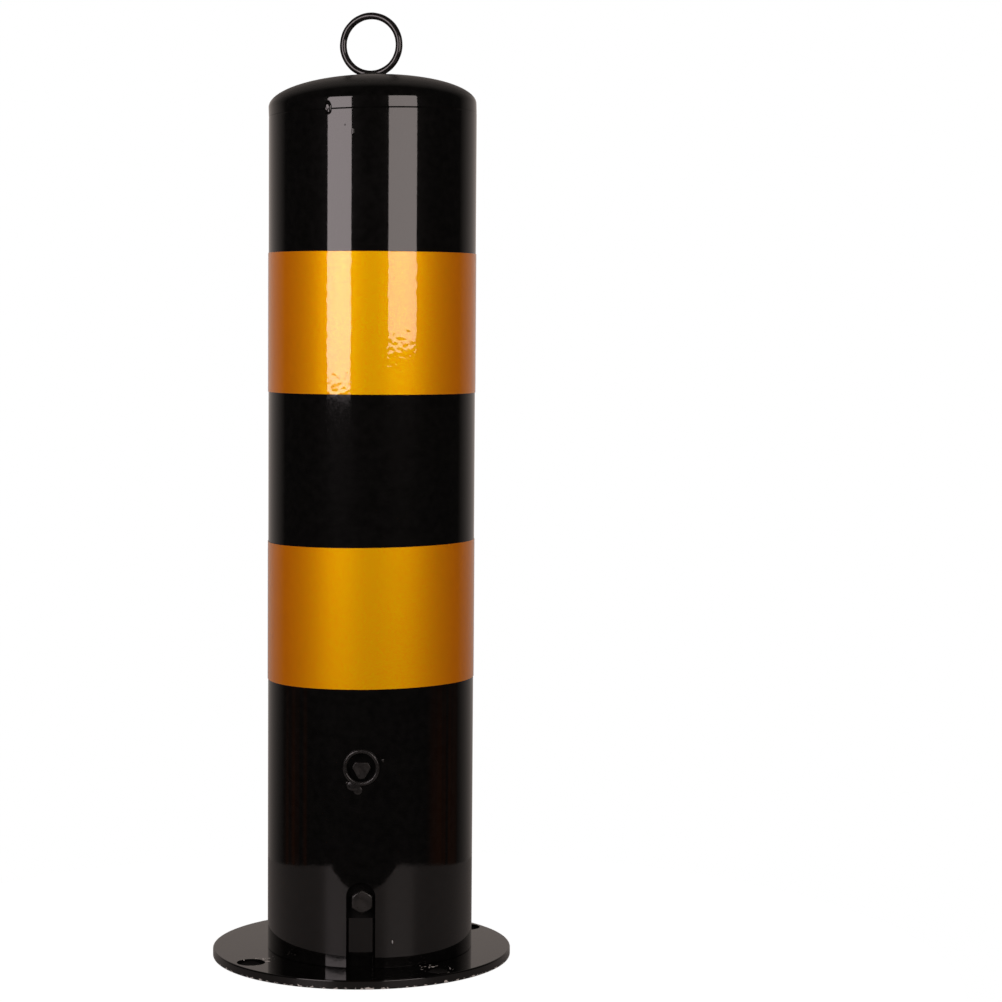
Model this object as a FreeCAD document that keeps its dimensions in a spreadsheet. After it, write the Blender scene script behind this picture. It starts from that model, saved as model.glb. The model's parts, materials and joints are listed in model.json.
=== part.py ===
"""A removable steel parking post: a tube with reflective bands over a bolted base with a stub.

Millimetres, +Z up. The origin is the middle of the base flange's underside, and the stop bolt, the
lock and the openings for them face -Y. The post group (tube, cap, ring, bands and lock) is drawn in a
frame of its own, with its origin in the middle of the tube's foot, and is then set down on the flange.
"""
import FreeCAD, Part
import math
import os

import Sketcher
from FreeCAD import Placement, Rotation, Vector

doc = FreeCAD.newDocument("parking_post")

# Driving dimensions

SIZES = (
    ("tube_diameter", 114, "outside of the post's tube, a standard pipe"),
    ("tube_wall", 1.5, "wall of the post's tube"),
    ("foot_length", 151.5, "black stretch from the foot to the lower band"),
    ("band_height", 76.2, "height of each reflective band"),
    ("middle_length", 81.8, "black stretch between the bands"),
    ("head_length", 75.5, "black stretch from the upper band to the cap's seam"),
    ("seam_bevel", 0.5, "bevel on both edges of the cap's seam"),
    ("foot_bevel", 0.4, "bevel on the foot's outer edge"),
    ("film_thickness", 0.3, "reflective film"),
    ("film_join", 0.6, "gap between the film's ends, at the back"),
    ("lower_film_tilt", 1.0, "how far the lower band dips to the left, in degrees"),
    ("upper_film_tilt", 0.1, "how far the upper band dips to the left, in degrees"),
    ("cap_rim", 5.2, "straight rim of the cap above the seam"),
    ("dome_height", 16.7, "rise of the cap's dome above its rim"),
    ("cap_tilt", 1.7, "how far the tube's end and the cap on it dip to the left, in degrees"),
    ("cap_wall", 1.5, "sheet that the cap is pressed from"),
    ("spigot_depth", 9, "how far the cap's spigot goes into the tube"),
    ("spigot_gap", 0.6, "gap between the spigot and the tube's bore"),
    ("crown_flat", 6, "width of the flat left by the press's centre pin, inside the crown"),
    ("crown_flat_depth", 0.1, "depth of that flat"),
    ("joggle_rise", 1.8, "rise of the step between the spigot and the cap's rim"),
    ("tack_height", 7.7, "tack weld on the seam, along the tube"),
    ("tack_width", 4.2, "tack weld on the seam, round the tube"),
    ("tack_rise", 1.3, "how far a tack weld stands proud"),
    ("tack_root", 0.3, "how deep a tack weld's blank starts in the tube"),
    ("tack_angle", 19.6, "angle of the first tack weld to the left of the lock"),
    ("ring_diameter", 35.4, "outside of the lifting ring"),
    ("ring_wire", 3.8, "bar that the lifting ring is bent from"),
    ("ring_sink", 1.2, "how deep the ring is let into the cap"),
    ("ring_turn", 10, "how far the ring is turned from facing the lock's way, in degrees"),
    ("bead_length", 19, "weld bead along the ring"),
    ("bead_width", 9, "weld bead across the ring"),
    ("bead_rise", 1.3, "height of the weld bead above the cap"),
    ("bead_root", 0.5, "how deep the weld bead's blank starts in the cap's sheet"),
    ("flange_overhang", 26, "how far the flange reaches beyond the tube's outside"),
    ("flange_thickness", 5, "flange plate"),
    ("flange_round", 0.8, "rounding of the flange's rim"),
    ("anchor_hole", 15.5, "anchor bolt hole"),
    ("anchor_edge", 10, "middle of an anchor hole to the flange's rim"),
    ("anchor_angle", 34.4, "first anchor hole from +X"),
    ("anchor_count", 4, "anchor holes"),
    ("stub_gap", 4.7, "radial gap between the stub and the tube's bore"),
    ("stub_wall", 2, "wall of the stub"),
    ("stub_above_lock", 25.6, "stub above the lock's height"),
    ("stub_weld_leg", 4, "leg of the weld inside the stub's foot"),
    ("seat_gap", 0.3, "gap left where the loose post leans against the stub"),
    ("post_turn", 0.8, "how far the loose post is turned on the stub, in degrees"),
    ("notch_height", 47, "top of the notch's arch above the foot"),
    ("notch_side_gap", 2.35, "gap between the stop bolt's head and each side of the notch"),
    ("stop_drop", 11.1, "stop bolt below the top of the arch"),
    ("stop_hex", 11, "stop bolt's head across its flats"),
    ("stop_head", 4.4, "height of the stop bolt's head"),
    ("stop_crown", 10.4, "circle on the face of the stop bolt's head, inside its bevel"),
    ("stop_slope", 30, "slope of the bevel on the stop bolt's head, in degrees"),
    ("stop_shank", 6, "stop bolt's shank"),
    ("stop_tip", 1.5, "stop bolt beyond its nut"),
    ("stop_nut_hex", 11, "stop nut across its flats"),
    ("stop_nut_height", 5.5, "stop nut"),
    ("lock_height", 109.4, "middle of the lock's bush above the foot"),
    ("lock_drop", 1.5, "lock's spindle below the middle of its bush"),
    ("stud_circle", 10.8, "circle through the rounded corners of the three-sided stud"),
    ("stud_flat", 3.5, "middle of the stud to each of its flats"),
    ("stud_height", 2.2, "height of the stud"),
    ("stud_gap", 0.1, "gap between the stud and the bush's floor"),
    ("key_gap", 2.3, "room for the key round the stud"),
    ("bush_wall", 2.3, "wall of the lock's bush"),
    ("bush_floor", 1.2, "floor of the bush, which carries the spindle"),
    ("bush_proud", 0.9, "how far the bush stands proud of the tube"),
    ("bush_round", 0.9, "rounding of the bush's outer rim"),
    ("bush_clear", 0.5, "gap between the bush's floor and the stub"),
    ("spindle_diameter", 6, "lock's spindle"),
    ("spindle_gap", 0.15, "radial gap of the spindle in the bush's floor"),
    ("cam_length", 22, "lock's cam, a bar that turns in the stub's keyhole"),
    ("cam_width", 7, "width of the cam"),
    ("cam_thickness", 2, "thickness of the cam"),
    ("cam_play", 0.5, "gap between the cam and the bush's floor"),
    ("cam_fit", 0.05, "radial gap of the spindle in the cam"),
    ("keyhole_gap", 0.9, "gap between the cam and the stub's keyhole"),
    ("rivet_diameter", 7.6, "riveted end of the spindle, behind the cam"),
    ("rivet_height", 1, "riveted end of the spindle"),
    ("shank_gap", 0.3, "radial gap round the stop bolt's shank in the stub's wall"),
    ("thread_gap", 0.05, "radial gap of the stop bolt's shank in its nut"),
)

sizes = doc.addObject("Spreadsheet::Sheet", "sizes")
for row, (alias, number, note) in enumerate(SIZES, start=1):
    sizes.set(f"A{row}", note)
    sizes.set(f"B{row}", str(number))
    sizes.setAlias(f"B{row}", alias)
doc.recompute()

# Derived sizes, as expressions on the sheet

TUBE_OUTER = "(sizes.tube_diameter / 2)"
TUBE_BORE = f"({TUBE_OUTER} - sizes.tube_wall)"
TUBE_LENGTH = "(sizes.foot_length + 2 * sizes.band_height + sizes.middle_length + sizes.head_length)"
UPPER_BAND = "(sizes.foot_length + sizes.band_height + sizes.middle_length)"
SPIGOT_OUTER = f"({TUBE_BORE} - sizes.spigot_gap)"
SPIGOT_INNER = f"({SPIGOT_OUTER} - sizes.cap_wall)"
CAP_INNER = f"({TUBE_OUTER} - sizes.cap_wall)"
DOME_APEX = f"({TUBE_LENGTH} + sizes.cap_rim + sizes.dome_height)"
TACK_CENTRE = f"({TUBE_OUTER} - sizes.tack_root)"
RING_CENTRE = f"({DOME_APEX} + sizes.ring_diameter / 2 - sizes.ring_sink)"
STUB_OUTER = f"({TUBE_BORE} - sizes.stub_gap)"
STUB_BORE = f"({STUB_OUTER} - sizes.stub_wall)"
STUB_HEIGHT = "(sizes.lock_height + sizes.stub_above_lock)"
FLANGE_RADIUS = f"({TUBE_OUTER} + sizes.flange_overhang)"
POST_SHIFT = "(sizes.stub_gap - sizes.seat_gap)"
NOTCH_RADIUS = "(sizes.stop_hex / 2 + sizes.notch_side_gap)"
STOP_HEIGHT = "(sizes.flange_thickness + sizes.notch_height - sizes.stop_drop)"
STOP_REACH = "(sizes.stub_wall + sizes.stop_nut_height + sizes.stop_tip)"
POST_TURN = f"(asin({POST_SHIFT} / {TUBE_OUTER}) + sizes.post_turn * 1 deg)"
SPINDLE_HEIGHT = "(sizes.lock_height - sizes.lock_drop)"
BUSH_BORE = "(sizes.stud_circle / 2 + sizes.key_gap)"
BUSH_OUTER = f"({BUSH_BORE} + sizes.bush_wall)"
KEYHOLE_RADIUS = "(sqrt(sizes.cam_length ^ 2 + sizes.cam_width ^ 2) / 2 + sizes.keyhole_gap)"
KEYHOLE_SLOT = "(sizes.cam_width / 2 + sizes.keyhole_gap)"

# The lock's faces, as distances from the tube's axis towards the front

STUB_FRONT = f"({STUB_OUTER} + {POST_SHIFT} * sin({POST_TURN}))"
BUSH_FACE = f"({TUBE_OUTER} + sizes.bush_proud)"
FLOOR_BACK = f"({STUB_FRONT} + sizes.bush_clear)"
FLOOR_FRONT = f"({FLOOR_BACK} + sizes.bush_floor)"
STUD_BACK = f"({FLOOR_FRONT} + sizes.stud_gap)"
CAM_FRONT = f"({FLOOR_BACK} - sizes.cam_play)"
CAM_BACK = f"({CAM_FRONT} - sizes.cam_thickness)"
RIVET_BACK = f"({CAM_BACK} - sizes.rivet_height)"

UPRIGHT = Rotation(Vector(1, 0, 0), 90)
CORNER_DOWN = Rotation(Vector(0, 0, 1), -90)
HEXAGON = 6
TRIANGLE = 3


# Helpers

def bind(thing, **expressions):
    """Bind properties of an object to expressions on the sheet."""
    for name, expression in expressions.items():
        thing.setExpression(name, expression)
    return thing


def place(thing, x="0", y="0", z="0", rotation=Rotation()):
    """Put an object at a place given by expressions, turned by a fixed rotation."""
    thing.Placement = Placement(Vector(), rotation)
    for axis, expression in (("x", x), ("y", y), ("z", z)):
        thing.setExpression(f"Placement.Base.{axis}", expression)
    return thing


def set_on_base(thing):
    """Set a piece of the post on the flange: pushed over to +X, and turned about the tube's axis."""
    thing.Placement = Placement(Vector(), Rotation(Vector(0, 0, -1), 1))
    thing.setExpression("Placement.Base.x", POST_SHIFT)
    thing.setExpression("Placement.Base.z", "sizes.flange_thickness")
    thing.setExpression("Placement.Rotation.Angle", POST_TURN)
    return thing


def compound(name, thing):
    """Wrap an object, so that it can be turned once more."""
    wrapper = doc.addObject("Part::Compound", name)
    wrapper.Links = [thing]
    return wrapper


def tilt(name, thing, height, angle):
    """An object of the post, dipping to the left by an angle in degrees, about a height on the tube's axis."""
    askew = compound(name, thing)
    askew.Placement = Placement(Vector(), Rotation(Vector(0, -1, 0), 1))
    askew.setExpression("Placement.Rotation.Angle", f"{angle} * 1 deg")
    askew.setExpression("Placement.Base.x", f"{height} * sin({angle} * 1 deg)")
    askew.setExpression("Placement.Base.z", f"{height} * (1 - cos({angle} * 1 deg))")
    return askew


def tilt_with_cap(name, thing):
    """An object that dips to the left with the cap, about the seam."""
    return tilt(name, thing, TUBE_LENGTH, "sizes.cap_tilt")


def front_bolt(thing, reach):
    """Lay a piece of the stop bolt, drawn along +Z, into the stub's front, to point out along -Y."""
    return place(thing, y=f"{reach} - {STUB_OUTER}", z=STOP_HEIGHT, rotation=UPRIGHT)


def face_front(thing, height):
    """Lay a piece of the lock, drawn along +Z from the tube's axis, to point out along -Y."""
    return place(thing, z=height, rotation=UPRIGHT)


def cylinder(name, radius, height):
    return bind(doc.addObject("Part::Cylinder", name), Radius=radius, Height=height)


def box(name, length, width, height):
    return bind(doc.addObject("Part::Box", name), Length=length, Width=width, Height=height)


def prism(name, sides, flat, height):
    """A bar with equal sides, each as far from its middle as flat says, and a corner towards -Y."""
    bar = doc.addObject("Part::Prism", name)
    bar.Polygon = sides
    bar.Placement.Rotation = CORNER_DOWN
    return bind(bar, Circumradius=f"{flat} / cos({180 / sides} deg)", Height=height)


def boolean(kind, name, base, tool):
    """Cut, fuse or intersect two objects."""
    result = doc.addObject(f"Part::{kind}", name)
    result.Base = base
    result.Tool = tool
    return result


def body(name):
    return doc.addObject("PartDesign::Body", name)


def sketch(owner, plane, name):
    """A sketch on one of the body's own origin planes."""
    drawing = owner.newObject("Sketcher::SketchObject", name)
    support = [item for item in owner.Origin.OriginFeatures if item.Role == plane][0]
    drawing.AttachmentSupport = [(support, "")]
    drawing.MapMode = "FlatFace"
    return drawing


def dimension(drawing, constraint, name, expression):
    """Add a named dimension to a sketch and bind it."""
    index = drawing.addConstraint(constraint)
    drawing.renameConstraint(index, name)
    drawing.setExpression(f"Constraints.{name}", expression)


def pin(drawing, curve, end, name, across, up):
    """Fix one point of a curve by its distances from the sketch's axes. None puts it on that axis."""
    point = drawing.getPoint(curve, end)
    for kind, axis, rough, expression in (("DistanceX", -2, point.x, across), ("DistanceY", -1, point.y, up)):
        if expression is None:
            drawing.addConstraint(Sketcher.Constraint("PointOnObject", curve, end, axis))
        else:
            dimension(drawing, Sketcher.Constraint(kind, -1, 1, curve, end, rough), name + kind, expression)


def circle(drawing, name, radius, up=None):
    """A circle about the origin, or at a height on the sketch's vertical axis."""
    start = Part.Circle(Vector(0, 1, 0), Vector(0, 0, 1), 1)
    curve = drawing.addGeometry(start, False)
    pin(drawing, curve, 3, name, None, up)
    dimension(drawing, Sketcher.Constraint("Radius", curve, 1.0), name, radius)


def size(name):
    """A driving dimension as a number."""
    return float(sizes.get(name))


def quarter_ellipse(half_width, rise, height):
    """A first guess for an arc from the side of an upright ellipse to its top."""
    centre = Vector(0, height, 0)
    whole = Part.Ellipse(Vector(half_width, height, 0), Vector(0, height + rise, 0), centre)
    return Part.ArcOfEllipse(whole, 0, math.pi / 2)


def outline(drawing, corners, domes=None, spring=None):
    """A closed outline through corners given by expressions.

    Its edges are straight, apart from the quarter ellipses in domes, by the number of their first
    corner, whose middles are on the sketch's vertical axis at the height spring.
    """
    domes = domes or {}
    count = len(corners)
    edges = []
    rough = []
    for index in range(count):
        angle = 2 * math.pi * index / count
        rough.append(Vector(2 + math.cos(angle), 2 + math.sin(angle), 0))
    for index, (across, up) in enumerate(corners):
        straight = Part.LineSegment(rough[index], rough[(index + 1) % count])
        curve = drawing.addGeometry(domes.get(index, straight), False)
        starts_on_axis = index in domes and across is None
        edges.append((curve, 2, 1) if starts_on_axis else (curve, 1, 2))
    for index, (across, up) in enumerate(corners):
        curve, first, last = edges[index]
        following, following_first, _ = edges[(index + 1) % count]
        drawing.addConstraint(Sketcher.Constraint("Coincident", curve, last, following, following_first))
        pin(drawing, curve, first, f"corner{index}", across, up)
    for index in domes:
        curve = edges[index][0]
        pin(drawing, curve, 3, f"middle{index}", None, spring)
        major_axis = drawing.GeometryCount
        drawing.exposeInternalGeometry(curve)
        drawing.addConstraint(Sketcher.Constraint("Horizontal", major_axis))


def pad(owner, drawing, name, length):
    feature = owner.newObject("PartDesign::Pad", name)
    feature.Profile = drawing
    return bind(feature, Length=length)


def front_pocket(owner, drawing, name, length):
    """Cut a sketch on the XZ plane through the front wall alone, towards -Y."""
    feature = owner.newObject("PartDesign::Pocket", name)
    feature.Profile = drawing
    feature.Reversed = True
    return bind(feature, Length=length)


def revolve(owner, drawing, name):
    """Turn a sketch once round its own vertical axis."""
    feature = owner.newObject("PartDesign::Revolution", name)
    feature.Profile = drawing
    feature.ReferenceAxis = (drawing, ["V_Axis"])
    feature.Angle = 360
    return feature


def rim_edges(feature, radius, height):
    """Names of the feature's round edges with this radius at this height."""
    names = []
    for index, edge in enumerate(feature.Shape.Edges, start=1):
        if not isinstance(edge.Curve, Part.Circle):
            continue
        same_radius = abs(edge.Curve.Radius - radius) < 1e-6
        if same_radius and abs(edge.Curve.Center.z - height) < 1e-6:
            names.append(f"Edge{index}")
    return names


def dress_rim(owner, kind, name, feature, radius, height, **size):
    """Fillet or chamfer the feature's round edges with this radius at this height."""
    edges = rim_edges(feature, radius, height)
    dressing = owner.newObject(f"PartDesign::{kind}", name)
    dressing.Base = (feature, edges)
    return bind(dressing, **size)


# Base: the flange with its anchor holes

base_flange = body("base_flange")
flange_circle = sketch(base_flange, "XY_Plane", "flange_circle")
circle(flange_circle, "rim", FLANGE_RADIUS)
flange_plate = pad(base_flange, flange_circle, "flange_plate", "sizes.flange_thickness")
doc.recompute()
flange_radius = flange_plate.Shape.BoundBox.XMax
flange_top = flange_plate.Shape.BoundBox.ZMax
flange_rim = base_flange.newObject("PartDesign::Fillet", "flange_rim")
flange_rim.Base = (flange_plate, rim_edges(flange_plate, flange_radius, 0)
                   + rim_edges(flange_plate, flange_radius, flange_top))
bind(flange_rim, Radius="sizes.flange_round")

anchor_circle = sketch(base_flange, "XY_Plane", "anchor_circle")
hole = anchor_circle.addGeometry(Part.Circle(Vector(1, 1, 0), Vector(0, 0, 1), 1), False)
ANCHOR_PITCH = f"({FLANGE_RADIUS} - sizes.anchor_edge)"
pin(anchor_circle, hole, 3, "centre", f"{ANCHOR_PITCH} * cos(sizes.anchor_angle * 1 deg)",
    f"{ANCHOR_PITCH} * sin(sizes.anchor_angle * 1 deg)")
dimension(anchor_circle, Sketcher.Constraint("Radius", hole, 1.0), "anchor", "sizes.anchor_hole / 2")
anchor_cut = base_flange.newObject("PartDesign::Pocket", "anchor_cut")
anchor_cut.Profile = anchor_circle
anchor_cut.Reversed = True
bind(anchor_cut, Length="sizes.flange_thickness")
doc.recompute()
anchor_holes = base_flange.newObject("PartDesign::PolarPattern", "anchor_holes")
anchor_holes.Originals = [anchor_cut]
anchor_holes.Axis = (anchor_circle, ["N_Axis"])
anchor_holes.Angle = 360
bind(anchor_holes, Occurrences="sizes.anchor_count")
base_flange.Tip = anchor_holes

# Base: the stub that the post drops over, with a hole for the stop bolt and a keyhole for the lock's cam

base_stub = body("base_stub")
stub_section = sketch(base_stub, "XY_Plane", "stub_section")
circle(stub_section, "outside", STUB_OUTER)
circle(stub_section, "bore", STUB_BORE)
pad(base_stub, stub_section, "stub_tube", STUB_HEIGHT)
STUB_CUT = f"({STUB_OUTER} + sizes.stub_wall)"
stop_hole = sketch(base_stub, "XZ_Plane", "stop_hole")
circle(stop_hole, "hole", "sizes.stop_shank / 2 + sizes.shank_gap", f"{STOP_HEIGHT} - sizes.flange_thickness")
front_pocket(base_stub, stop_hole, "stop_cut", STUB_CUT)
ABOVE_STUB = f"({STUB_HEIGHT} + sizes.stub_wall)"
keyhole_outline = sketch(base_stub, "XZ_Plane", "keyhole_outline")
outline(keyhole_outline, (
    (f"-{KEYHOLE_SLOT}", SPINDLE_HEIGHT),
    (KEYHOLE_SLOT, SPINDLE_HEIGHT),
    (KEYHOLE_SLOT, ABOVE_STUB),
    (f"-{KEYHOLE_SLOT}", ABOVE_STUB),
))
front_pocket(base_stub, keyhole_outline, "keyhole_slot", STUB_CUT)
keyhole_circle = sketch(base_stub, "XZ_Plane", "keyhole_circle")
circle(keyhole_circle, "round", KEYHOLE_RADIUS, SPINDLE_HEIGHT)
front_pocket(base_stub, keyhole_circle, "keyhole_round", STUB_CUT)
place(base_stub, z="sizes.flange_thickness")

stub_weld = body("stub_weld")
weld_section = sketch(stub_weld, "XZ_Plane", "weld_section")
outline(weld_section, (
    (f"{STUB_BORE} - sizes.stub_weld_leg", None),
    (STUB_BORE, None),
    (STUB_BORE, "sizes.stub_weld_leg"),
))
revolve(stub_weld, weld_section, "weld_ring")
place(stub_weld, z="sizes.flange_thickness")

# Base: the stop bolt that the notch straddles

head_bar = prism("stop_head_bar", HEXAGON, "sizes.stop_hex / 2", "sizes.stop_head")
head_cone = bind(doc.addObject("Part::Cone", "stop_head_cone"), Height="sizes.stop_head",
                 Radius1="sizes.stop_crown / 2 + sizes.stop_head / tan(sizes.stop_slope * 1 deg)",
                 Radius2="sizes.stop_crown / 2")
stop_head = boolean("Common", "stop_head", head_bar, head_cone)
place(stop_head, z=STOP_REACH)
stop_shank = cylinder("stop_shank_bar", "sizes.stop_shank / 2", STOP_REACH)
stop_bolt = boolean("Fuse", "stop_bolt", stop_head, stop_shank)
front_bolt(stop_bolt, STOP_REACH)

# Base: the stop bolt's nut inside the stub, its outer face curved to the bore that it is welded to

NUT_BLANK = "(sizes.stop_nut_height + sizes.stub_wall)"
nut_bar = prism("stop_nut_bar", HEXAGON, "sizes.stop_nut_hex / 2", NUT_BLANK)
nut_bore = cylinder("stop_nut_bore", "sizes.stop_shank / 2 + sizes.thread_gap", NUT_BLANK)
nut_blank = front_bolt(boolean("Cut", "stop_nut_blank", nut_bar, nut_bore), NUT_BLANK)
nut_trim = place(cylinder("stop_nut_trim", STUB_BORE, STUB_HEIGHT), z="sizes.flange_thickness")
stop_nut = boolean("Common", "stop_nut", nut_blank, nut_trim)

# Post: the tube, with the notch at its foot and the lock's hole above it

tube_blank = body("tube_blank")
tube_section = sketch(tube_blank, "XY_Plane", "tube_section")
circle(tube_section, "outside", TUBE_OUTER)
circle(tube_section, "bore", TUBE_BORE)
END_DIP = f"({TUBE_OUTER} * tan(sizes.cap_tilt * 1 deg))"
tube_wall = pad(tube_blank, tube_section, "tube_wall", f"{TUBE_LENGTH} + {END_DIP} + sizes.seam_bevel")
doc.recompute()
dress_rim(tube_blank, "Chamfer", "tube_foot", tube_wall, tube_wall.Shape.BoundBox.XMax, 0,
          Size="sizes.foot_bevel")

TUBE_CUT = f"({TUBE_OUTER} + sizes.tube_wall)"
ARCH_CENTRE = f"(sizes.notch_height - {NOTCH_RADIUS})"
slot_outline = sketch(tube_blank, "XZ_Plane", "slot_outline")
slot_rectangle = (
    (f"-{NOTCH_RADIUS}", None),
    (NOTCH_RADIUS, None),
    (NOTCH_RADIUS, ARCH_CENTRE),
    (f"-{NOTCH_RADIUS}", ARCH_CENTRE),
)
outline(slot_outline, slot_rectangle)
front_pocket(tube_blank, slot_outline, "notch_slot", TUBE_CUT)
arch_circle = sketch(tube_blank, "XZ_Plane", "arch_circle")
circle(arch_circle, "arch", NOTCH_RADIUS, ARCH_CENTRE)
front_pocket(tube_blank, arch_circle, "notch_arch", TUBE_CUT)
bush_seat = sketch(tube_blank, "XZ_Plane", "bush_seat")
circle(bush_seat, "seat", BUSH_OUTER, "sizes.lock_height")
front_pocket(tube_blank, bush_seat, "lock_hole", TUBE_CUT)

# Post: the tube's end, sawn a little out of square and bevelled outside

END_REACH = f"(2 * {TUBE_OUTER})"
BEVEL_REACH = "(sizes.seam_bevel + sizes.tube_wall)"
end_waste = place(cylinder("end_waste", END_REACH, TUBE_OUTER), z=TUBE_LENGTH)
bevel_blank = cylinder("bevel_blank", END_REACH, BEVEL_REACH)
bevel_cone = bind(doc.addObject("Part::Cone", "bevel_cone"), Radius1=f"{TUBE_OUTER} + sizes.tube_wall",
                  Radius2=f"{TUBE_OUTER} - sizes.seam_bevel", Height=BEVEL_REACH)
bevel_waste = boolean("Cut", "bevel_waste", bevel_blank, bevel_cone)
place(bevel_waste, z=f"{TUBE_LENGTH} - {BEVEL_REACH}")
tube_waste = tilt_with_cap("tube_waste", boolean("Fuse", "end_tool", end_waste, bevel_waste))
post_tube = set_on_base(boolean("Cut", "post_tube", tube_blank, tube_waste))

# Post: the lock's bush, a cup welded into the hole, with the spindle's hole low in its floor

bush_cup = body("bush_cup")
bush_section = sketch(bush_cup, "XZ_Plane", "bush_section")
outline(bush_section, (
    (None, FLOOR_BACK),
    (BUSH_OUTER, FLOOR_BACK),
    (BUSH_OUTER, BUSH_FACE),
    (BUSH_BORE, BUSH_FACE),
    (BUSH_BORE, FLOOR_FRONT),
    (None, FLOOR_FRONT),
))
bush_turned = revolve(bush_cup, bush_section, "bush_turned")
doc.recompute()
dress_rim(bush_cup, "Fillet", "bush_rim", bush_turned, bush_turned.Shape.BoundBox.XMax,
          bush_turned.Shape.BoundBox.ZMax, Radius="sizes.bush_round")
face_front(bush_cup, "sizes.lock_height")
spindle_bore = cylinder("spindle_bore", "sizes.spindle_diameter / 2 + sizes.spindle_gap", BUSH_FACE)
face_front(spindle_bore, SPINDLE_HEIGHT)
lock_bush = set_on_base(boolean("Cut", "lock_bush", bush_cup, spindle_bore))

# Lock: the spindle, with a three-sided stud for the key in front and a riveted end behind


def stack(thing, low):
    """Raise a piece of the lock along its axis before it is laid to face the front."""
    return place(thing, z=low, rotation=thing.Placement.Rotation)


stud_bar = prism("stud_bar", TRIANGLE, "sizes.stud_flat", "sizes.stud_height")
stud_round = cylinder("stud_round", "sizes.stud_circle / 2", "sizes.stud_height")
stud = stack(boolean("Common", "stud", stud_bar, stud_round), STUD_BACK)
shank = stack(cylinder("spindle_shank", "sizes.spindle_diameter / 2", f"{STUD_BACK} - {CAM_BACK}"), CAM_BACK)
rivet = stack(cylinder("spindle_rivet", "sizes.rivet_diameter / 2", "sizes.rivet_height"), RIVET_BACK)
spindle_front = boolean("Fuse", "spindle_front", stud, shank)
spindle_whole = face_front(boolean("Fuse", "spindle_whole", spindle_front, rivet), SPINDLE_HEIGHT)
lock_spindle = doc.addObject("Part::Compound", "lock_spindle")
lock_spindle.Links = [spindle_whole]
set_on_base(lock_spindle)

# Lock: the cam, upright in the stub's keyhole while the post is free to lift

cam_bar = box("cam_bar", "sizes.cam_width", "sizes.cam_length", "sizes.cam_thickness")
place(cam_bar, x="-sizes.cam_width / 2", y="-sizes.cam_length / 2", z=CAM_BACK)
cam_bore = cylinder("cam_bore", "sizes.spindle_diameter / 2 + sizes.cam_fit", CAM_FRONT)
cam_blank = face_front(boolean("Cut", "cam_blank", cam_bar, cam_bore), SPINDLE_HEIGHT)
lock_cam = doc.addObject("Part::Compound", "lock_cam")
lock_cam.Links = [cam_blank]
set_on_base(lock_cam)

# Post: the pressed cap, with a spigot in the tube and a joggle out to its rim

cap_blank = body("cap_blank")
cap_profile = sketch(cap_blank, "XZ_Plane", "cap_profile")
SEAM = "sizes.spigot_depth"
JOGGLE_LOW = f"({SEAM} + sizes.cap_wall - sizes.tube_wall + sizes.seam_bevel)"
SPRING = f"({SEAM} + sizes.cap_rim)"
CROWN = f"({SPRING} + sizes.dome_height)"
cap_corners = (
    (SPIGOT_INNER, None),
    (SPIGOT_OUTER, None),
    (SPIGOT_OUTER, SEAM),
    (f"({TUBE_OUTER} - sizes.seam_bevel)", SEAM),
    (TUBE_OUTER, f"({SEAM} + sizes.seam_bevel)"),
    (TUBE_OUTER, SPRING),
    (None, CROWN),
    (None, f"({CROWN} - sizes.cap_wall)"),
    (CAP_INNER, SPRING),
    (CAP_INNER, f"({JOGGLE_LOW} + sizes.joggle_rise)"),
    (SPIGOT_INNER, JOGGLE_LOW),
)
cap_outer_arc = 5
cap_inner_arc = 7
half_width = size("tube_diameter") / 2
rise = size("dome_height")
wall = size("cap_wall")
spring_height = size("spigot_depth") + size("cap_rim")
outline(cap_profile, cap_corners, spring=SPRING, domes={
    cap_outer_arc: quarter_ellipse(half_width, rise, spring_height),
    cap_inner_arc: quarter_ellipse(half_width - wall, rise - wall, spring_height),
})
revolve(cap_blank, cap_profile, "cap_pressing")
place(cap_blank, z=f"{TUBE_LENGTH} - sizes.spigot_depth")
crown_pin = cylinder("crown_pin", "sizes.crown_flat / 2", "sizes.dome_height / 2")
place(crown_pin, z=f"{DOME_APEX} - sizes.cap_wall + sizes.crown_flat_depth - sizes.dome_height / 2")
cap_pressed = boolean("Cut", "cap_pressed", cap_blank, crown_pin)


def turn_with_ring(name, thing):
    """An object turned with the ring about the cap's middle."""
    turned = compound(name, thing)
    turned.Placement = Placement(Vector(), Rotation(Vector(0, 0, -1), 1))
    turned.setExpression("Placement.Rotation.Angle", "sizes.ring_turn * 1 deg")
    return turned


def ring(name):
    """The lifting ring, upright and let into the top of the cap."""
    bar = bind(doc.addObject("Part::Torus", f"{name}_bar"), Radius2="sizes.ring_wire / 2",
               Radius1="(sizes.ring_diameter - sizes.ring_wire) / 2")
    return turn_with_ring(name, place(bar, z=RING_CENTRE, rotation=UPRIGHT))


cap_askew = tilt_with_cap("cap_askew", boolean("Cut", "cap_slotted", cap_pressed, ring("ring_slot")))
domed_cap = set_on_base(compound("domed_cap", cap_askew))

# Post: the ring and its weld bead

lifting_ring = set_on_base(compound("lifting_ring", tilt_with_cap("ring_askew", ring("ring_whole"))))

bead_blank = bind(doc.addObject("Part::Ellipsoid", "bead_blank"), Radius2="sizes.bead_length / 2",
                  Radius3="sizes.bead_width / 2", Radius1="sizes.bead_rise + sizes.bead_root")
bead_blank.Angle1 = 0
place(bead_blank, z=f"{DOME_APEX} - sizes.bead_root")
bead_on_cap = boolean("Cut", "bead_on_cap", turn_with_ring("bead_turned", bead_blank), cap_blank)
bead_slotted = boolean("Cut", "bead_slotted", bead_on_cap, ring("bead_slot"))
ring_weld = set_on_base(compound("ring_weld", tilt_with_cap("bead_askew", bead_slotted)))

# Post: tack welds across the cap's seam, on opposite sides

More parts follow.
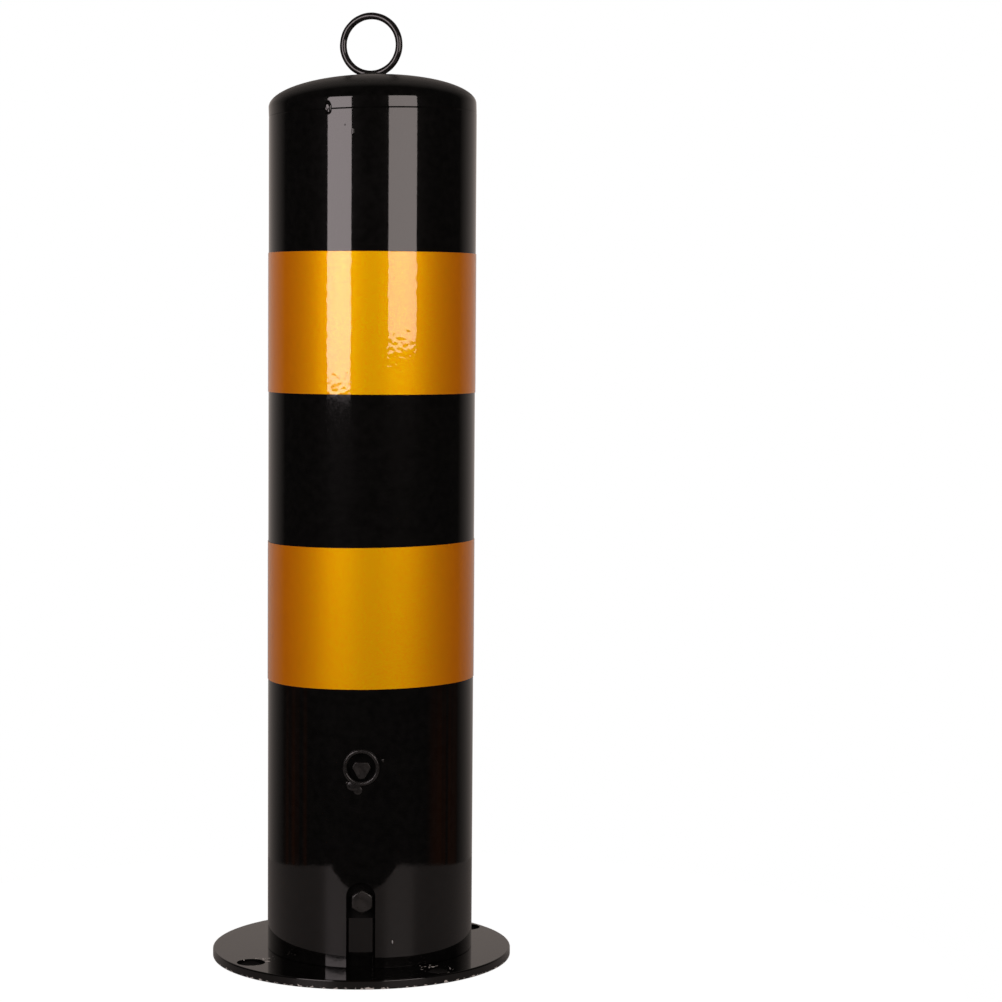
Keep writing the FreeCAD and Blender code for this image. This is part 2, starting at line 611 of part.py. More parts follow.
tack_blanks = doc.addObject("Part::MultiFuse", "tack_blanks")
tacks = []
for name, half_turn in (("front_tack", 0), ("rear_tack", 180)):
    tack = bind(doc.addObject("Part::Ellipsoid", name), Radius1="sizes.tack_height / 2",
                Radius2="sizes.tack_width / 2", Radius3="sizes.tack_rise + sizes.tack_root")
    tack.Placement = Placement(Vector(), Rotation(Vector(0, 0, -1), 1))
    angle = f"(sizes.tack_angle + {half_turn}) * 1 deg"
    tack.setExpression("Placement.Rotation.Angle", angle)
    tack.setExpression("Placement.Base.x", f"-{TACK_CENTRE} * sin({angle})")
    tack.setExpression("Placement.Base.y", f"-{TACK_CENTRE} * cos({angle})")
    tack.setExpression("Placement.Base.z", TUBE_LENGTH)
    tacks.append(tack)
tack_blanks.Shapes = tacks
tack_core = cylinder("tack_core", TUBE_OUTER, f"{TUBE_LENGTH} + sizes.tack_height")
tacks_on_tube = boolean("Cut", "tacks_on_tube", tack_blanks, tack_core)
cap_tacks = set_on_base(boolean("Cut", "cap_tacks", tacks_on_tube, cap_askew))


def film(name, height, angle):
    """A reflective band: film wrapped round the tube a little askew, with its ends meeting at the back."""
    spare = f"({TUBE_OUTER} * tan({angle} * 1 deg) + sizes.film_thickness)"
    tall = f"sizes.band_height + 2 * {spare}"
    sleeve = cylinder(f"{name}_sleeve", f"{TUBE_OUTER} + sizes.film_thickness", tall)
    core = cylinder(f"{name}_core", TUBE_OUTER, tall)
    wrap = boolean("Cut", f"{name}_wrap", sleeve, core)
    join = box(f"{name}_join", "sizes.film_join", f"{TUBE_OUTER} + sizes.film_thickness", tall)
    place(join, x="-sizes.film_join / 2")
    strip = place(boolean("Cut", f"{name}_strip", wrap, join), z=f"{height} - {spare}")
    slab = box(f"{name}_slab", f"4 * {TUBE_OUTER}", f"4 * {TUBE_OUTER}", "sizes.band_height")
    place(slab, x=f"-2 * {TUBE_OUTER}", y=f"-2 * {TUBE_OUTER}", z=height)
    askew = tilt(f"{name}_askew", slab, f"({height} + sizes.band_height / 2)", angle)
    return set_on_base(boolean("Common", name, strip, askew))


reflective_band_lower = film("reflective_band_lower", "sizes.foot_length", "sizes.lower_film_tilt")
reflective_band_upper = film("reflective_band_upper", UPPER_BAND, "sizes.upper_film_tilt")

# Checks, then one file for each piece

PIECES = (
    base_flange, base_stub, stub_weld, stop_bolt, stop_nut, lock_spindle, lock_cam, lock_bush,
    post_tube, domed_cap, cap_tacks, lifting_ring, ring_weld, reflective_band_lower, reflective_band_upper,
)

doc.recompute()
for thing in doc.Objects:
    failed = [state for state in thing.State if state in ("Invalid", "Error")]
    if failed:
        raise RuntimeError(f"{thing.Label} failed: {failed}")
for piece in PIECES:
    if piece.Shape.isNull() or not piece.Shape.isValid():
        raise RuntimeError(f"{piece.Label} has no valid shape")

os.makedirs("parts", exist_ok=True)
for piece in PIECES:
    piece.Shape.exportStep(f"parts/{piece.Label}.step")
    print(piece.Label, len(piece.Shape.Solids), "solid", round(piece.Shape.Volume), "mm3")
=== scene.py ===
# %% [markdown]
# # A removable parking post
#
# The post is a steel tube with a domed cap, two gold reflective bands and a lifting ring. It stands
# loosely over a stub on a bolted flange, and a small lock holds it there. The solids come from the
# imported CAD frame. In this lesson we model the visible skins again with Blender's own tools, so that
# the gloss paint runs smoothly round them, and then give them paint, film, light and a camera.

# %% Load the frame
import json
import math
from contextlib import contextmanager

import bpy
from mathutils import Matrix, Vector


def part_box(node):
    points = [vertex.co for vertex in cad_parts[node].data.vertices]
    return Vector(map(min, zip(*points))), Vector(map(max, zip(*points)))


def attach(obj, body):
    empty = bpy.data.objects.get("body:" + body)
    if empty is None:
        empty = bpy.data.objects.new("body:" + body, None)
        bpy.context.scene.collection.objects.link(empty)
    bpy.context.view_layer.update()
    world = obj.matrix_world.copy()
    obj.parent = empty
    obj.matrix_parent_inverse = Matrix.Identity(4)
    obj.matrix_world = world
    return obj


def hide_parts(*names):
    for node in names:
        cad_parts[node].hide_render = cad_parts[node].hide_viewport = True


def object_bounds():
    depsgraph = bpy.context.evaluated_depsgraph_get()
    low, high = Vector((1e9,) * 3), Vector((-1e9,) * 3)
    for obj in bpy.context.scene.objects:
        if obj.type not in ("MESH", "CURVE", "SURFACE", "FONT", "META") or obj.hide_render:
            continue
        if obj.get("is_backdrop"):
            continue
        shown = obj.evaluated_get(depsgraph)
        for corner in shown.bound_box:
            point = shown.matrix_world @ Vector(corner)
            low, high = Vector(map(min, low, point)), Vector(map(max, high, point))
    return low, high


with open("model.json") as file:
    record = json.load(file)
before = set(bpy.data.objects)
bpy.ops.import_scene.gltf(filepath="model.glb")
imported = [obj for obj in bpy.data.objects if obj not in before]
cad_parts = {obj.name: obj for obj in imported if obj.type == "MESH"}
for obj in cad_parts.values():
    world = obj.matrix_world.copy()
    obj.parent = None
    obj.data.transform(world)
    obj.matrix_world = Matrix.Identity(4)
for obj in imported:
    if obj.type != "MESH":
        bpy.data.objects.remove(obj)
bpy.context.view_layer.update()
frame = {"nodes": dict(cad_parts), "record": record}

# %% [markdown]
# ## Where the post stands
#
# The sizes that place the post are read from the CAD. The post leans on its stub, so its axis is a
# little to the right of the flange's middle, and it is turned a little, as the lock's axis shows. The
# pieces of the post are modelled upright on the origin, which is easy, and are then stood in place.

# %% Sizes of the post
MM = 0.001
CAP_TILT = 1.7
SEAM_BEVEL = 0.5 * MM
TUBE_WALL = 1.5 * MM
tube_low, tube_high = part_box("post_tube")
TUBE_RADIUS = (tube_high.x - tube_low.x) / 2
end_dip = (TUBE_RADIUS - SEAM_BEVEL) * math.sin(math.radians(CAP_TILT))
TUBE_LENGTH = tube_high.z - tube_low.z - end_dip
TUBE_BORE = TUBE_RADIUS - TUBE_WALL
POST_PLACE = Vector(((tube_low.x + tube_high.x) / 2, 0, tube_low.z))
joints = frame["record"]["behaviour"]["joints"]
lock_joint = next(joint for joint in joints if joint["name"] == "lock_turn")
POST_TURN = -math.atan2(lock_joint["axis"][0], lock_joint["axis"][1])
print("tube of radius", round(TUBE_RADIUS / MM, 2), "and length", round(TUBE_LENGTH / MM, 2), "mm, turned",
      round(math.degrees(POST_TURN), 2), "degrees")

# %% [markdown]
# ## A few hand tools
#
# Most of these pieces are turned shapes. A lathe can be had with Spin, but a circle that is extruded
# and resized from one profile point to the next gives clean rings, and closes without a seam. Holes
# are cut with a Boolean and edges are softened with a Bevel, both applied at once, so that what is
# left is a plain mesh.

# %% Selecting and editing


def only(piece):
    """Select one object alone and make it the active one."""
    bpy.ops.object.select_all(action="DESELECT")
    piece.select_set(True)
    bpy.context.view_layer.objects.active = piece


@contextmanager
def editing(piece):
    """Edit mode on one object, with all of it selected."""
    only(piece)
    bpy.ops.object.mode_set(mode="EDIT")
    bpy.ops.mesh.select_all(action="SELECT")
    yield
    bpy.ops.object.mode_set(mode="OBJECT")


# %% Placing and copying


def take_new(name):
    """The primitive that was just added, renamed and with its place in its mesh."""
    piece = bpy.context.object
    piece.name = name
    bpy.ops.object.transform_apply(location=True, rotation=True, scale=True)
    return piece


def settle(piece, place=(0, 0, 0), turn=(0, 0, 0), stretch=(1, 1, 1)):
    """Move, turn and stretch a piece that sits at the origin, with the result in its mesh."""
    only(piece)
    piece.location = place
    piece.rotation_euler = turn
    piece.scale = stretch
    bpy.ops.object.transform_apply(location=True, rotation=True, scale=True)


def copied(piece, name):
    """A copy of a piece, with a mesh of its own."""
    twin = piece.copy()
    twin.data = piece.data.copy()
    twin.name = name
    bpy.context.collection.objects.link(twin)
    return twin


# %% Lathe
SAME_PLACE = MM / 500


def lathe(name, profile, steps):
    """Turn a profile of (radius, height) points about Z. Open ends are filled."""
    radius, height = profile[0]
    bpy.ops.object.select_all(action="DESELECT")
    bpy.ops.mesh.primitive_circle_add(vertices=steps, radius=radius, location=(0, 0, height))
    piece = take_new(name)
    with editing(piece):
        for next_radius, next_height in profile[1:]:
            rise = (0, 0, next_height - height)
            bpy.ops.mesh.extrude_region_move(TRANSFORM_OT_translate={"value": rise})
            growth = next_radius / radius
            bpy.ops.transform.resize(value=(growth, growth, 1), center_override=(0, 0, next_height))
            radius, height = next_radius, next_height
        bpy.ops.mesh.select_all(action="SELECT")
        bpy.ops.mesh.remove_doubles(threshold=SAME_PLACE)
        bpy.ops.mesh.select_all(action="DESELECT")
        bpy.ops.mesh.select_non_manifold()
        bpy.ops.mesh.fill_holes(sides=0)
        bpy.ops.mesh.select_all(action="SELECT")
        bpy.ops.mesh.normals_make_consistent(inside=False)
    return piece


def arc(middle, radius, start, end, count=6):
    """Profile points on an arc about (radius, height) middle, with its angles in degrees."""
    across, up = radius if isinstance(radius, tuple) else (radius, radius)
    points = []
    for index in range(count + 1):
        angle = math.radians(start + (end - start) * index / count)
        points.append((middle[0] + across * math.cos(angle), middle[1] + up * math.sin(angle)))
    return points


# %% Cutting and softening
# A cutter reaches past a face by a spare length, or past a round wall by a share of its radius.
SPARE = 1 * MM
PAST_WALL = 1.2


def apply_modifier(piece, kind, **settings):
    """Add a modifier with these settings and apply it."""
    only(piece)
    modifier = piece.modifiers.new(kind, kind)
    for name, setting in settings.items():
        setattr(modifier, name, setting)
    bpy.ops.object.modifier_apply(modifier=modifier.name)


def cut(piece, cutter, operation="DIFFERENCE"):
    """Combine a piece with a cutter, and throw the cutter away."""
    apply_modifier(piece, "BOOLEAN", operation=operation, solver="EXACT", object=cutter)
    bpy.data.objects.remove(cutter)


def soften(piece, width, segments=3, angle=40):
    """Round every edge that is sharper than an angle in degrees."""
    apply_modifier(piece, "BEVEL", width=width, segments=segments, limit_method="ANGLE",
                   angle_limit=math.radians(angle))


def smooth(piece, angle=35):
    """Shade a piece smooth across edges that are blunter than an angle in degrees, large faces first."""
    only(piece)
    bpy.ops.object.shade_smooth_by_angle(angle=math.radians(angle))
    apply_modifier(piece, "WEIGHTED_NORMAL", mode="FACE_AREA", keep_sharp=True)


# %% Bars, blocks and lumps
FACING_FRONT = (math.pi / 2, 0, 0)


def round_bar(name, radius, length, place, turn=(0, 0, 0), steps=72):
    """A plain round bar with its middle at a place, as a cutter or a start."""
    bpy.ops.object.select_all(action="DESELECT")
    bpy.ops.mesh.primitive_cylinder_add(vertices=steps, radius=radius, depth=length, location=place,
                                        rotation=turn)
    return take_new(name)


def block(name, low, high):
    """A box between two corners, as a cutter or a start."""
    low = Vector(low)
    high = Vector(high)
    bpy.ops.object.select_all(action="DESELECT")
    bpy.ops.mesh.primitive_cube_add(size=1, location=(low + high) / 2, scale=high - low)
    return take_new(name)


def lump(piece, size, depth):
    """Push a surface in and out with a cloud texture, as weld metal and thick paint lie."""
    clouds = bpy.data.textures.new(piece.name + "_clouds", "CLOUDS")
    clouds.noise_scale = size
    apply_modifier(piece, "DISPLACE", texture=clouds, texture_coords="LOCAL", strength=depth, mid_level=0.5)
    bpy.data.textures.remove(clouds)


# %% [markdown]
# ## Finishing a piece
#
# The cap and the bands sit a little askew, so some pieces are dipped to one side, or only their ends.
# Each finished piece sits at the origin with its place in its mesh, moves with one body of the
# mechanism, hides the CAD nodes that it stands for, and says which finish of the record it has. The
# pieces are kept in a list by finish, and get their materials further down.

# %% Dipping, standing and finishing
dressed = {"black_paint": [], "bolt_paint": [], "gold_film": [], "zinc_steel": []}


def dip(piece, height, degrees, low=-math.inf, high=math.inf):
    """Dip the part of a piece between two heights to the left, about a height on its axis."""
    with editing(piece):
        bpy.ops.mesh.select_all(action="DESELECT")
    for vertex in piece.data.vertices:
        vertex.select = low < vertex.co.z < high
    bpy.ops.object.mode_set(mode="EDIT")
    bpy.ops.transform.rotate(value=math.radians(degrees), orient_axis="Y", center_override=(0, 0, height))
    bpy.ops.object.mode_set(mode="OBJECT")


def stand(piece):
    """Turn and shift a piece of the post from the origin to where the post stands."""
    settle(piece, place=POST_PLACE, turn=(0, 0, POST_TURN))


def finish_piece(piece, body, finish, *nodes):
    """Join a piece to its body and its finish, in place of these CAD nodes."""
    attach(piece, body)
    if nodes:
        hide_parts(*nodes)
    dressed[finish].append(piece)
    print(piece.name, "has", len(piece.data.polygons), "faces and rides on", body)


# %% [markdown]
# ## The tube
#
# The tube is rolled pipe with a rounded foot and a softly rounded edge at the top, where the cap's seam
# is. One closed profile gives both walls. Its rings are close together low down, so that the notch for the
# stop bolt and the lock's hole are cut out of small faces and the gloss stays even round them. The top end
# is dipped, because the cap sits askew on it.

# %% Lips of the cap's seam
SEAM_DEPTH = 0.17 * MM
SEAM_SHARES = (0, 0.35, 0.7, 1)


def seam_lip(side):
    """Profile points of the seam's lip on the tube (side -1) or the cap (side 1), from the skin inwards."""
    points = []
    for share in SEAM_SHARES:
        sunk = SEAM_DEPTH * share ** 2
        points.append((TUBE_RADIUS - sunk, TUBE_LENGTH + side * SEAM_BEVEL * (1 - share)))
    return points


print("seam of", round(2 * SEAM_BEVEL / MM, 2), "by", round(SEAM_DEPTH / MM, 2), "mm")

# %% Tube
FINE_STEPS = 240
FOOT_ROUND = 0.4 * MM
FOOT_RINGS = 3
NOTCH_ROUND = 0.5 * MM
NOTCH_RADIUS = 7.85 * MM
NOTCH_TOP = 47 * MM
LOCK_HEIGHT = 109.4 * MM
BUSH_RADIUS = 10 * MM
LOW_RINGS = 22
LOW_RING_STEP = 6 * MM
INSIDE_RING = 138 * MM

tube_profile = [(TUBE_BORE, 0)]
tube_profile += arc((TUBE_RADIUS - FOOT_ROUND, FOOT_ROUND), FOOT_ROUND, -90, 0, FOOT_RINGS)
tube_profile += [(TUBE_RADIUS, LOW_RING_STEP * index) for index in range(1, LOW_RINGS + 1)]
tube_profile += seam_lip(-1)
tube_profile += [(TUBE_BORE, TUBE_LENGTH), (TUBE_BORE, INSIDE_RING), (TUBE_BORE, 0)]
tube = lathe("tube", tube_profile, FINE_STEPS)

arch_height = NOTCH_TOP - NOTCH_RADIUS
notch_low = (-NOTCH_RADIUS, -PAST_WALL * TUBE_RADIUS, -SPARE)
cut(tube, block("notch", notch_low, (NOTCH_RADIUS, 0, arch_height)))
arch_place = (0, -TUBE_RADIUS, arch_height)
cut(tube, round_bar("arch", NOTCH_RADIUS, TUBE_RADIUS, arch_place, FACING_FRONT))
lock_place = (0, -TUBE_RADIUS, LOCK_HEIGHT)
cut(tube, round_bar("lock_hole", BUSH_RADIUS, TUBE_RADIUS, lock_place, FACING_FRONT))
soften(tube, NOTCH_ROUND)
dip(tube, TUBE_LENGTH, CAP_TILT, low=TUBE_LENGTH - 2 * SEAM_BEVEL)
smooth(tube)
stand(tube)
finish_piece(tube, "post", "black_paint", "post_tube")

# %% [markdown]
# ## The cap
#
# The cap is pressed from sheet: a spigot in the tube, a straight rim and a shallow elliptical dome with
# a tight knuckle. The profile runs down the outside from the crown, round the spigot and up the inside.

# %% Cap
CAP_WALL = 1.5 * MM
CAP_RIM = 5.2 * MM
DOME_RISE = 16.7 * MM
DOME_RINGS = 40
NEAR_CROWN = 89.9
SPIGOT_DEPTH = 9 * MM
SPIGOT_GAP = 0.6 * MM
SPIGOT_RADIUS = TUBE_BORE - SPIGOT_GAP
spigot_foot = TUBE_LENGTH - SPIGOT_DEPTH
spring = TUBE_LENGTH + CAP_RIM
inside_radii = (TUBE_RADIUS - CAP_WALL, DOME_RISE - CAP_WALL)

cap_profile = arc((0, spring), (TUBE_RADIUS, DOME_RISE), NEAR_CROWN, 0, DOME_RINGS)
cap_profile += seam_lip(1)
cap_profile += [(SPIGOT_RADIUS, TUBE_LENGTH), (SPIGOT_RADIUS, spigot_foot)]
cap_profile += [(SPIGOT_RADIUS - CAP_WALL, spigot_foot), (SPIGOT_RADIUS - CAP_WALL, TUBE_LENGTH)]
cap_profile += arc((0, spring), inside_radii, 0, NEAR_CROWN, DOME_RINGS // 2)
cap = lathe("cap", cap_profile, FINE_STEPS)
dip(cap, TUBE_LENGTH, CAP_TILT)
smooth(cap, angle=30)
stand(cap)
finish_piece(cap, "post", "black_paint", "domed_cap")

# %% [markdown]
# ## The lifting ring and its weld
#
# The ring is bent from bar and let into the crown, in a low mound of weld metal. A torus is the bar, made
# a little uneven with a cloud texture, because bar that is bent and painted by hand is never even. The
# mound is turned on the lathe so that it lies on the dome, with a flat top and steep sides, and is then
# narrowed. Two small fillets of weld climb the ring from it, one on either side.

# %% Ring
LUMPY_ANGLE = 60
RING_RADIUS = 17.7 * MM
RING_BAR = 3.8 * MM
RING_SINK = 1.2 * MM
RING_TURN = math.radians(-10)
crown = spring + DOME_RISE
ring_height = crown + RING_RADIUS - RING_SINK

bpy.ops.object.select_all(action="DESELECT")
bpy.ops.mesh.primitive_torus_add(major_radius=RING_RADIUS - RING_BAR / 2, minor_radius=RING_BAR / 2,
                                 major_segments=120, minor_segments=28,
                                 location=(0, 0, ring_height), rotation=(math.pi / 2, 0, RING_TURN))
ring = take_new("ring")
lump(ring, size=6 * MM, depth=0.25 * MM)
dip(ring, TUBE_LENGTH, CAP_TILT)
smooth(ring, LUMPY_ANGLE)
stand(ring)
finish_piece(ring, "post", "black_paint", "lifting_ring")

# %% Stretched balls


def ball(name, place, radii, turn=(0, 0, 0)):
    """A ball stretched to three radii, as a start for weld metal and drops of paint."""
    bpy.ops.object.select_all(action="DESELECT")
    bpy.ops.mesh.primitive_uv_sphere_add(segments=48, ring_count=24, radius=1, location=place, rotation=turn,
                                         scale=radii)
    return take_new(name)


# %% Ring weld
# The lathe can't reach its axis, so a closed profile starts and ends this near to it.
POLE = 0.05 * MM
BEAD_REACH = 9.6 * MM
BEAD_NARROWING = 0.55
BEAD_RISE = 1.5 * MM
BEAD_ROOT = 1.2 * MM
BEAD_FULLNESS = 4
BEAD_RINGS = 16
BEAD_STEPS = 96
FILLET_RADII = (2.3 * MM, 2.2 * MM, 2.0 * MM)
fillet_reach = math.sqrt(RING_RADIUS ** 2 - (ring_height - crown) ** 2)

bead_profile = [(POLE, crown - BEAD_ROOT), (BEAD_REACH, crown - BEAD_ROOT)]
for index in range(BEAD_RINGS):
    share = 1 - index / BEAD_RINGS
    reach = BEAD_REACH * share
    sag = DOME_RISE * (1 - math.sqrt(1 - (reach / TUBE_RADIUS) ** 2))
    swell = BEAD_RISE * (1 - share ** BEAD_FULLNESS)
    bead_profile.append((reach, crown - sag + swell - POLE))
bead_profile.append((POLE, crown + BEAD_RISE))
bead = lathe("ring_weld_bead", bead_profile, BEAD_STEPS)
settle(bead, stretch=(1, BEAD_NARROWING, 1))
for side in (-1, 1):
    fillet_place = (side * (fillet_reach - RING_BAR / 2), 0, crown)
    cut(bead, ball("fillet", fillet_place, FILLET_RADII), "UNION")
settle(bead, turn=(0, 0, RING_TURN))
dip(bead, TUBE_LENGTH, CAP_TILT)
smooth(bead, LUMPY_ANGLE)
stand(bead)
finish_piece(bead, "post", "black_paint", "ring_weld")

# %% [markdown]
# ## Tack welds and thick paint
#
# The cap is tacked to the tube on two sides, under the paint: the front tack is modelled, and its copy is
# turned to the back. The paint has two nibs above the upper band, and a run and two dots at the lock. Low
# down at the right of the notch is a bare speck. Each is a flattened ball that is sunk to its middle in
# the tube, at an angle from the post's front and a height.

# %% Tacks
TACK_ANGLE = -19.6
TACK_RISE = 1.3 * MM
TACK_WIDTH = 4.2 * MM
TACK_HEIGHT = 7.7 * MM
TACK_LUMP = 2 * MM
TACK_LUMP_DEPTH = 0.7 * MM


def drop_on_tube(name, angle, height, width, length, rise, lump_depth=0.0):
    """A flattened ball on the tube, an angle in degrees to the right of the front, at a height."""
    turn = math.radians(angle)
    place = (TUBE_RADIUS * math.sin(turn), -TUBE_RADIUS * math.cos(turn), height)
    drop = ball(name, place, (width / 2, rise, length / 2), (0, 0, turn))
    if lump_depth:
        lump(drop, TACK_LUMP, lump_depth)
    smooth(drop, LUMPY_ANGLE)
    return drop


front_tack = drop_on_tube("tack_front", TACK_ANGLE, TUBE_LENGTH, TACK_WIDTH, TACK_HEIGHT, TACK_RISE,
                          TACK_LUMP_DEPTH)
rear_tack = copied(front_tack, "tack_rear")
settle(rear_tack, turn=(0, 0, math.pi))
stand(front_tack)
stand(rear_tack)
finish_piece(front_tack, "post", "black_paint", "cap_tacks")
finish_piece(rear_tack, "post", "black_paint")

# %% Drops of paint and the bare speck
# Each has its angle in degrees, and its height, width, length and rise in millimetres.
PAINT_DROPS = {
    "nib_upper": (-5.7, 448.5, 1.6, 4.6, 0.4),
    "nib_speck": (-10.0, 452.1, 0.8, 1.0, 0.12),
    "lock_run": (-4.0, 99.4, 7.6, 5.4, 0.5),
    "lock_run_tail": (-1.8, 97.0, 4.6, 4.6, 0.4),
    "lock_dot_left": (-7.9, 101.0, 1.5, 1.6, 0.45),
    "lock_dot_right": (11.8, 113.2, 1.4, 1.8, 0.4),
    "bare_speck": (17.45, 14.2, 0.9, 2.0, 0.15),
}
drops = {}
for name, (angle, height, width, length, rise) in PAINT_DROPS.items():
    drops[name] = drop_on_tube(name, angle, height * MM, width * MM, length * MM, rise * MM)
    stand(drops[name])
    finish_piece(drops[name], "post", "black_paint")

# %% [markdown]
# ## The reflective bands
#
# Each band is a strip of film wrapped round the tube, with its ends meeting at the back. A thin sleeve
# with softened edges is cut open there with a narrow block. The film's skin is pebbly, which frays the
# ends of the reflections in it, so it gets many small faces and a very shallow cloud texture. One film is
# modelled and copied. Each copy is moved to its place and its edges are dipped, as it was wrapped askew.

# %% Film
FILM = 0.3 * MM
FILM_EDGE = 0.12 * MM
FILM_JOIN = 0.6 * MM
FILM_RINGS = 96
FILM_STEPS = 480
RIPPLE_SIZE = 2.0 * MM
RIPPLE_DEPTH = 0.06 * MM
BAND_HEIGHT = 76.2 * MM

film_outside = TUBE_RADIUS + FILM - RIPPLE_DEPTH / 2
film_profile = [(TUBE_RADIUS, 0), (film_outside - FILM_EDGE, 0), (film_outside, FILM_EDGE)]
for index in range(1, FILM_RINGS):
    film_profile.append((film_outside, BAND_HEIGHT * index / FILM_RINGS))
film_profile += [(film_outside, BAND_HEIGHT - FILM_EDGE), (film_outside - FILM_EDGE, BAND_HEIGHT)]
film_profile += [(TUBE_RADIUS, BAND_HEIGHT), (TUBE_RADIUS, 0)]
film = lathe("film", film_profile, FILM_STEPS)
join_high = (FILM_JOIN / 2, PAST_WALL * TUBE_RADIUS, BAND_HEIGHT + SPARE)
cut(film, block("join", (-FILM_JOIN / 2, 0, -SPARE), join_high))
lump(film, RIPPLE_SIZE, RIPPLE_DEPTH)
print("one film of", len(film.data.polygons), "faces")

# %% Bands
BAND_TILTS = {"reflective_band_lower": 1.0, "reflective_band_upper": 0.1}
half_ring = BAND_HEIGHT / FILM_RINGS / 2

for node, tilt in BAND_TILTS.items():
    low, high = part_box(node)
    bottom = (low.z + high.z - BAND_HEIGHT) / 2 - POST_PLACE.z
    top = bottom + BAND_HEIGHT
    band = copied(film, node.replace("reflective_", ""))
    settle(band, place=(0, 0, bottom))
    dip(band, bottom, tilt, high=bottom + half_ring)
    dip(band, top, tilt, low=top - half_ring)
    smooth(band)
    stand(band)
    finish_piece(band, "post", "gold_film", node)
bpy.data.objects.remove(film)

# %% [markdown]
# ## The lock
#
# A small cup is welded into the tube's front. In it stands a three-sided stud for a key, on a spindle
# that turns a cam behind the cup. Cup and spindle are turned on the lathe, then laid to face the front.
# The stud starts as a three-sided bar whose corners and top edges are bevelled round.

# %% Lock cup
CUP_BORE = 7.7 * MM
CUP_STANDOUT = 0.9 * MM
CUP_FACE = TUBE_RADIUS + CUP_STANDOUT
CUP_BACK = 51.7 * MM
CUP_FLOOR = 52.9 * MM
CUP_STEPS = 120
RIM_ROUND = 1.1 * MM
SPINDLE_RADIUS = 3 * MM
SPINDLE_GAP = 0.15 * MM
SPINDLE_DROP = 1.5 * MM
SPINDLE_CUT = 4 * MM


def face_front(piece, height):
    """Lay a piece of the lock, modelled along Z from the tube's axis, to face the front at a height."""
    settle(piece, place=(0, 0, height), turn=FACING_FRONT)


cup_profile = [(POLE, CUP_BACK), (BUSH_RADIUS, CUP_BACK)]
cup_profile += arc((BUSH_RADIUS - RIM_ROUND, CUP_FACE - RIM_ROUND), RIM_ROUND, 0, 90)
cup_profile += arc((CUP_BORE + RIM_ROUND, CUP_FACE - RIM_ROUND), RIM_ROUND, 90, 180)
cup_profile += [(CUP_BORE, CUP_FLOOR), (POLE, CUP_FLOOR)]
cup = lathe("lock_cup", cup_profile, CUP_STEPS)
spindle_hole = (0, -SPINDLE_DROP, (CUP_BACK + CUP_FLOOR) / 2)
cut(cup, round_bar("spindle_hole", SPINDLE_RADIUS + SPINDLE_GAP, SPINDLE_CUT, spindle_hole))
lump(cup, size=4 * MM, depth=0.2 * MM)
smooth(cup, angle=50)
face_front(cup, LOCK_HEIGHT)
stand(cup)
finish_piece(cup, "post", "black_paint", "lock_bush")

# %% Lock stud and spindle
STUD_RADIUS = 5.1 * MM
STUD_FLAT = 3.9 * MM
STUD_ROUND = 1.7 * MM
STUD_BACK = 53.0 * MM
STUD_FACE = 55.2 * MM
CAM_FRONT = 51.2 * MM
CAM_BACK = 49.2 * MM
RIVET_RADIUS = 3.8 * MM
RIVET_BACK = 48.2 * MM
RIVET_ROUND = 0.6 * MM
TRIANGLE = 3
SPINDLE_STEPS = 72
spindle_height = LOCK_HEIGHT - SPINDLE_DROP
spindle_front = STUD_BACK + SPARE

stud = round_bar("stud", 2 * STUD_FLAT, STUD_FACE - STUD_BACK, (0, 0, (STUD_FACE + STUD_BACK) / 2),
                 (0, 0, math.pi), steps=TRIANGLE)
stud_round = round_bar("stud_round", STUD_RADIUS, 2 * STUD_FACE, (0, 0, 0))
cut(stud, stud_round, "INTERSECT")
soften(stud, STUD_ROUND, segments=6, angle=25)
spindle_profile = [(POLE, RIVET_BACK)]
spindle_profile += arc((RIVET_RADIUS - RIVET_ROUND, RIVET_BACK + RIVET_ROUND), RIVET_ROUND, -90, 0)
spindle_profile += [(RIVET_RADIUS, CAM_BACK), (SPINDLE_RADIUS, CAM_BACK)]
spindle_profile += [(SPINDLE_RADIUS, spindle_front), (POLE, spindle_front)]
spindle = lathe("lock_stud", spindle_profile, SPINDLE_STEPS)
cut(spindle, stud, "UNION")
smooth(spindle)
face_front(spindle, spindle_height)
stand(spindle)
finish_piece(spindle, "lock", "bolt_paint", "lock_spindle")

# %% Lock cam
CAM_LENGTH = 22 * MM
CAM_WIDTH = 7 * MM
CAM_ROUND = 0.3 * MM

cam_low = (-CAM_WIDTH / 2, -CAM_LENGTH / 2, CAM_BACK)
cam_high = (CAM_WIDTH / 2, CAM_LENGTH / 2, CAM_FRONT)
cam = block("lock_cam_bar", cam_low, cam_high)
cut(cam, round_bar("cam_hole", SPINDLE_RADIUS, 4 * CAM_WIDTH, (0, 0, CAM_BACK)))
soften(cam, CAM_ROUND)
smooth(cam)
face_front(cam, spindle_height)
stand(cam)
finish_piece(cam, "lock", "zinc_steel", "lock_cam")

# %% [markdown]
# ## The base
#
# The base is a thick round plate with four anchor holes and a stub that the post drops over. The plate is
# turned with rounded rims, and its holes are cut and softened. Its paint is chipped at the holes' upper
# edges and at the lower rim, so the points there get a mark, which the paint reads later: there it shows a
# pale primer, which also stands as painted highlights for glints on these edges. The stub has a keyhole for
# the lock's cam and is welded to the plate from inside.

# %% Flange
flange_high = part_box("base_flange")[1]
FLANGE_RADIUS = flange_high.x
FLANGE_THICKNESS = flange_high.z
FLANGE_ROUND = 0.8 * MM
mounts = frame["record"]["mounts"]
anchor_dims = next(mount["dims"] for mount in mounts if mount["name"] == "anchor_holes")
ANCHOR_CIRCLE = anchor_dims["pcd_mm"] * MM / 2
ANCHOR_RADIUS = anchor_dims["hole_r_mm"] * MM
ANCHOR_COUNT = anchor_dims["count"]
ANCHOR_START = math.radians(34.4)
HOLE_ROUND = 0.35 * MM

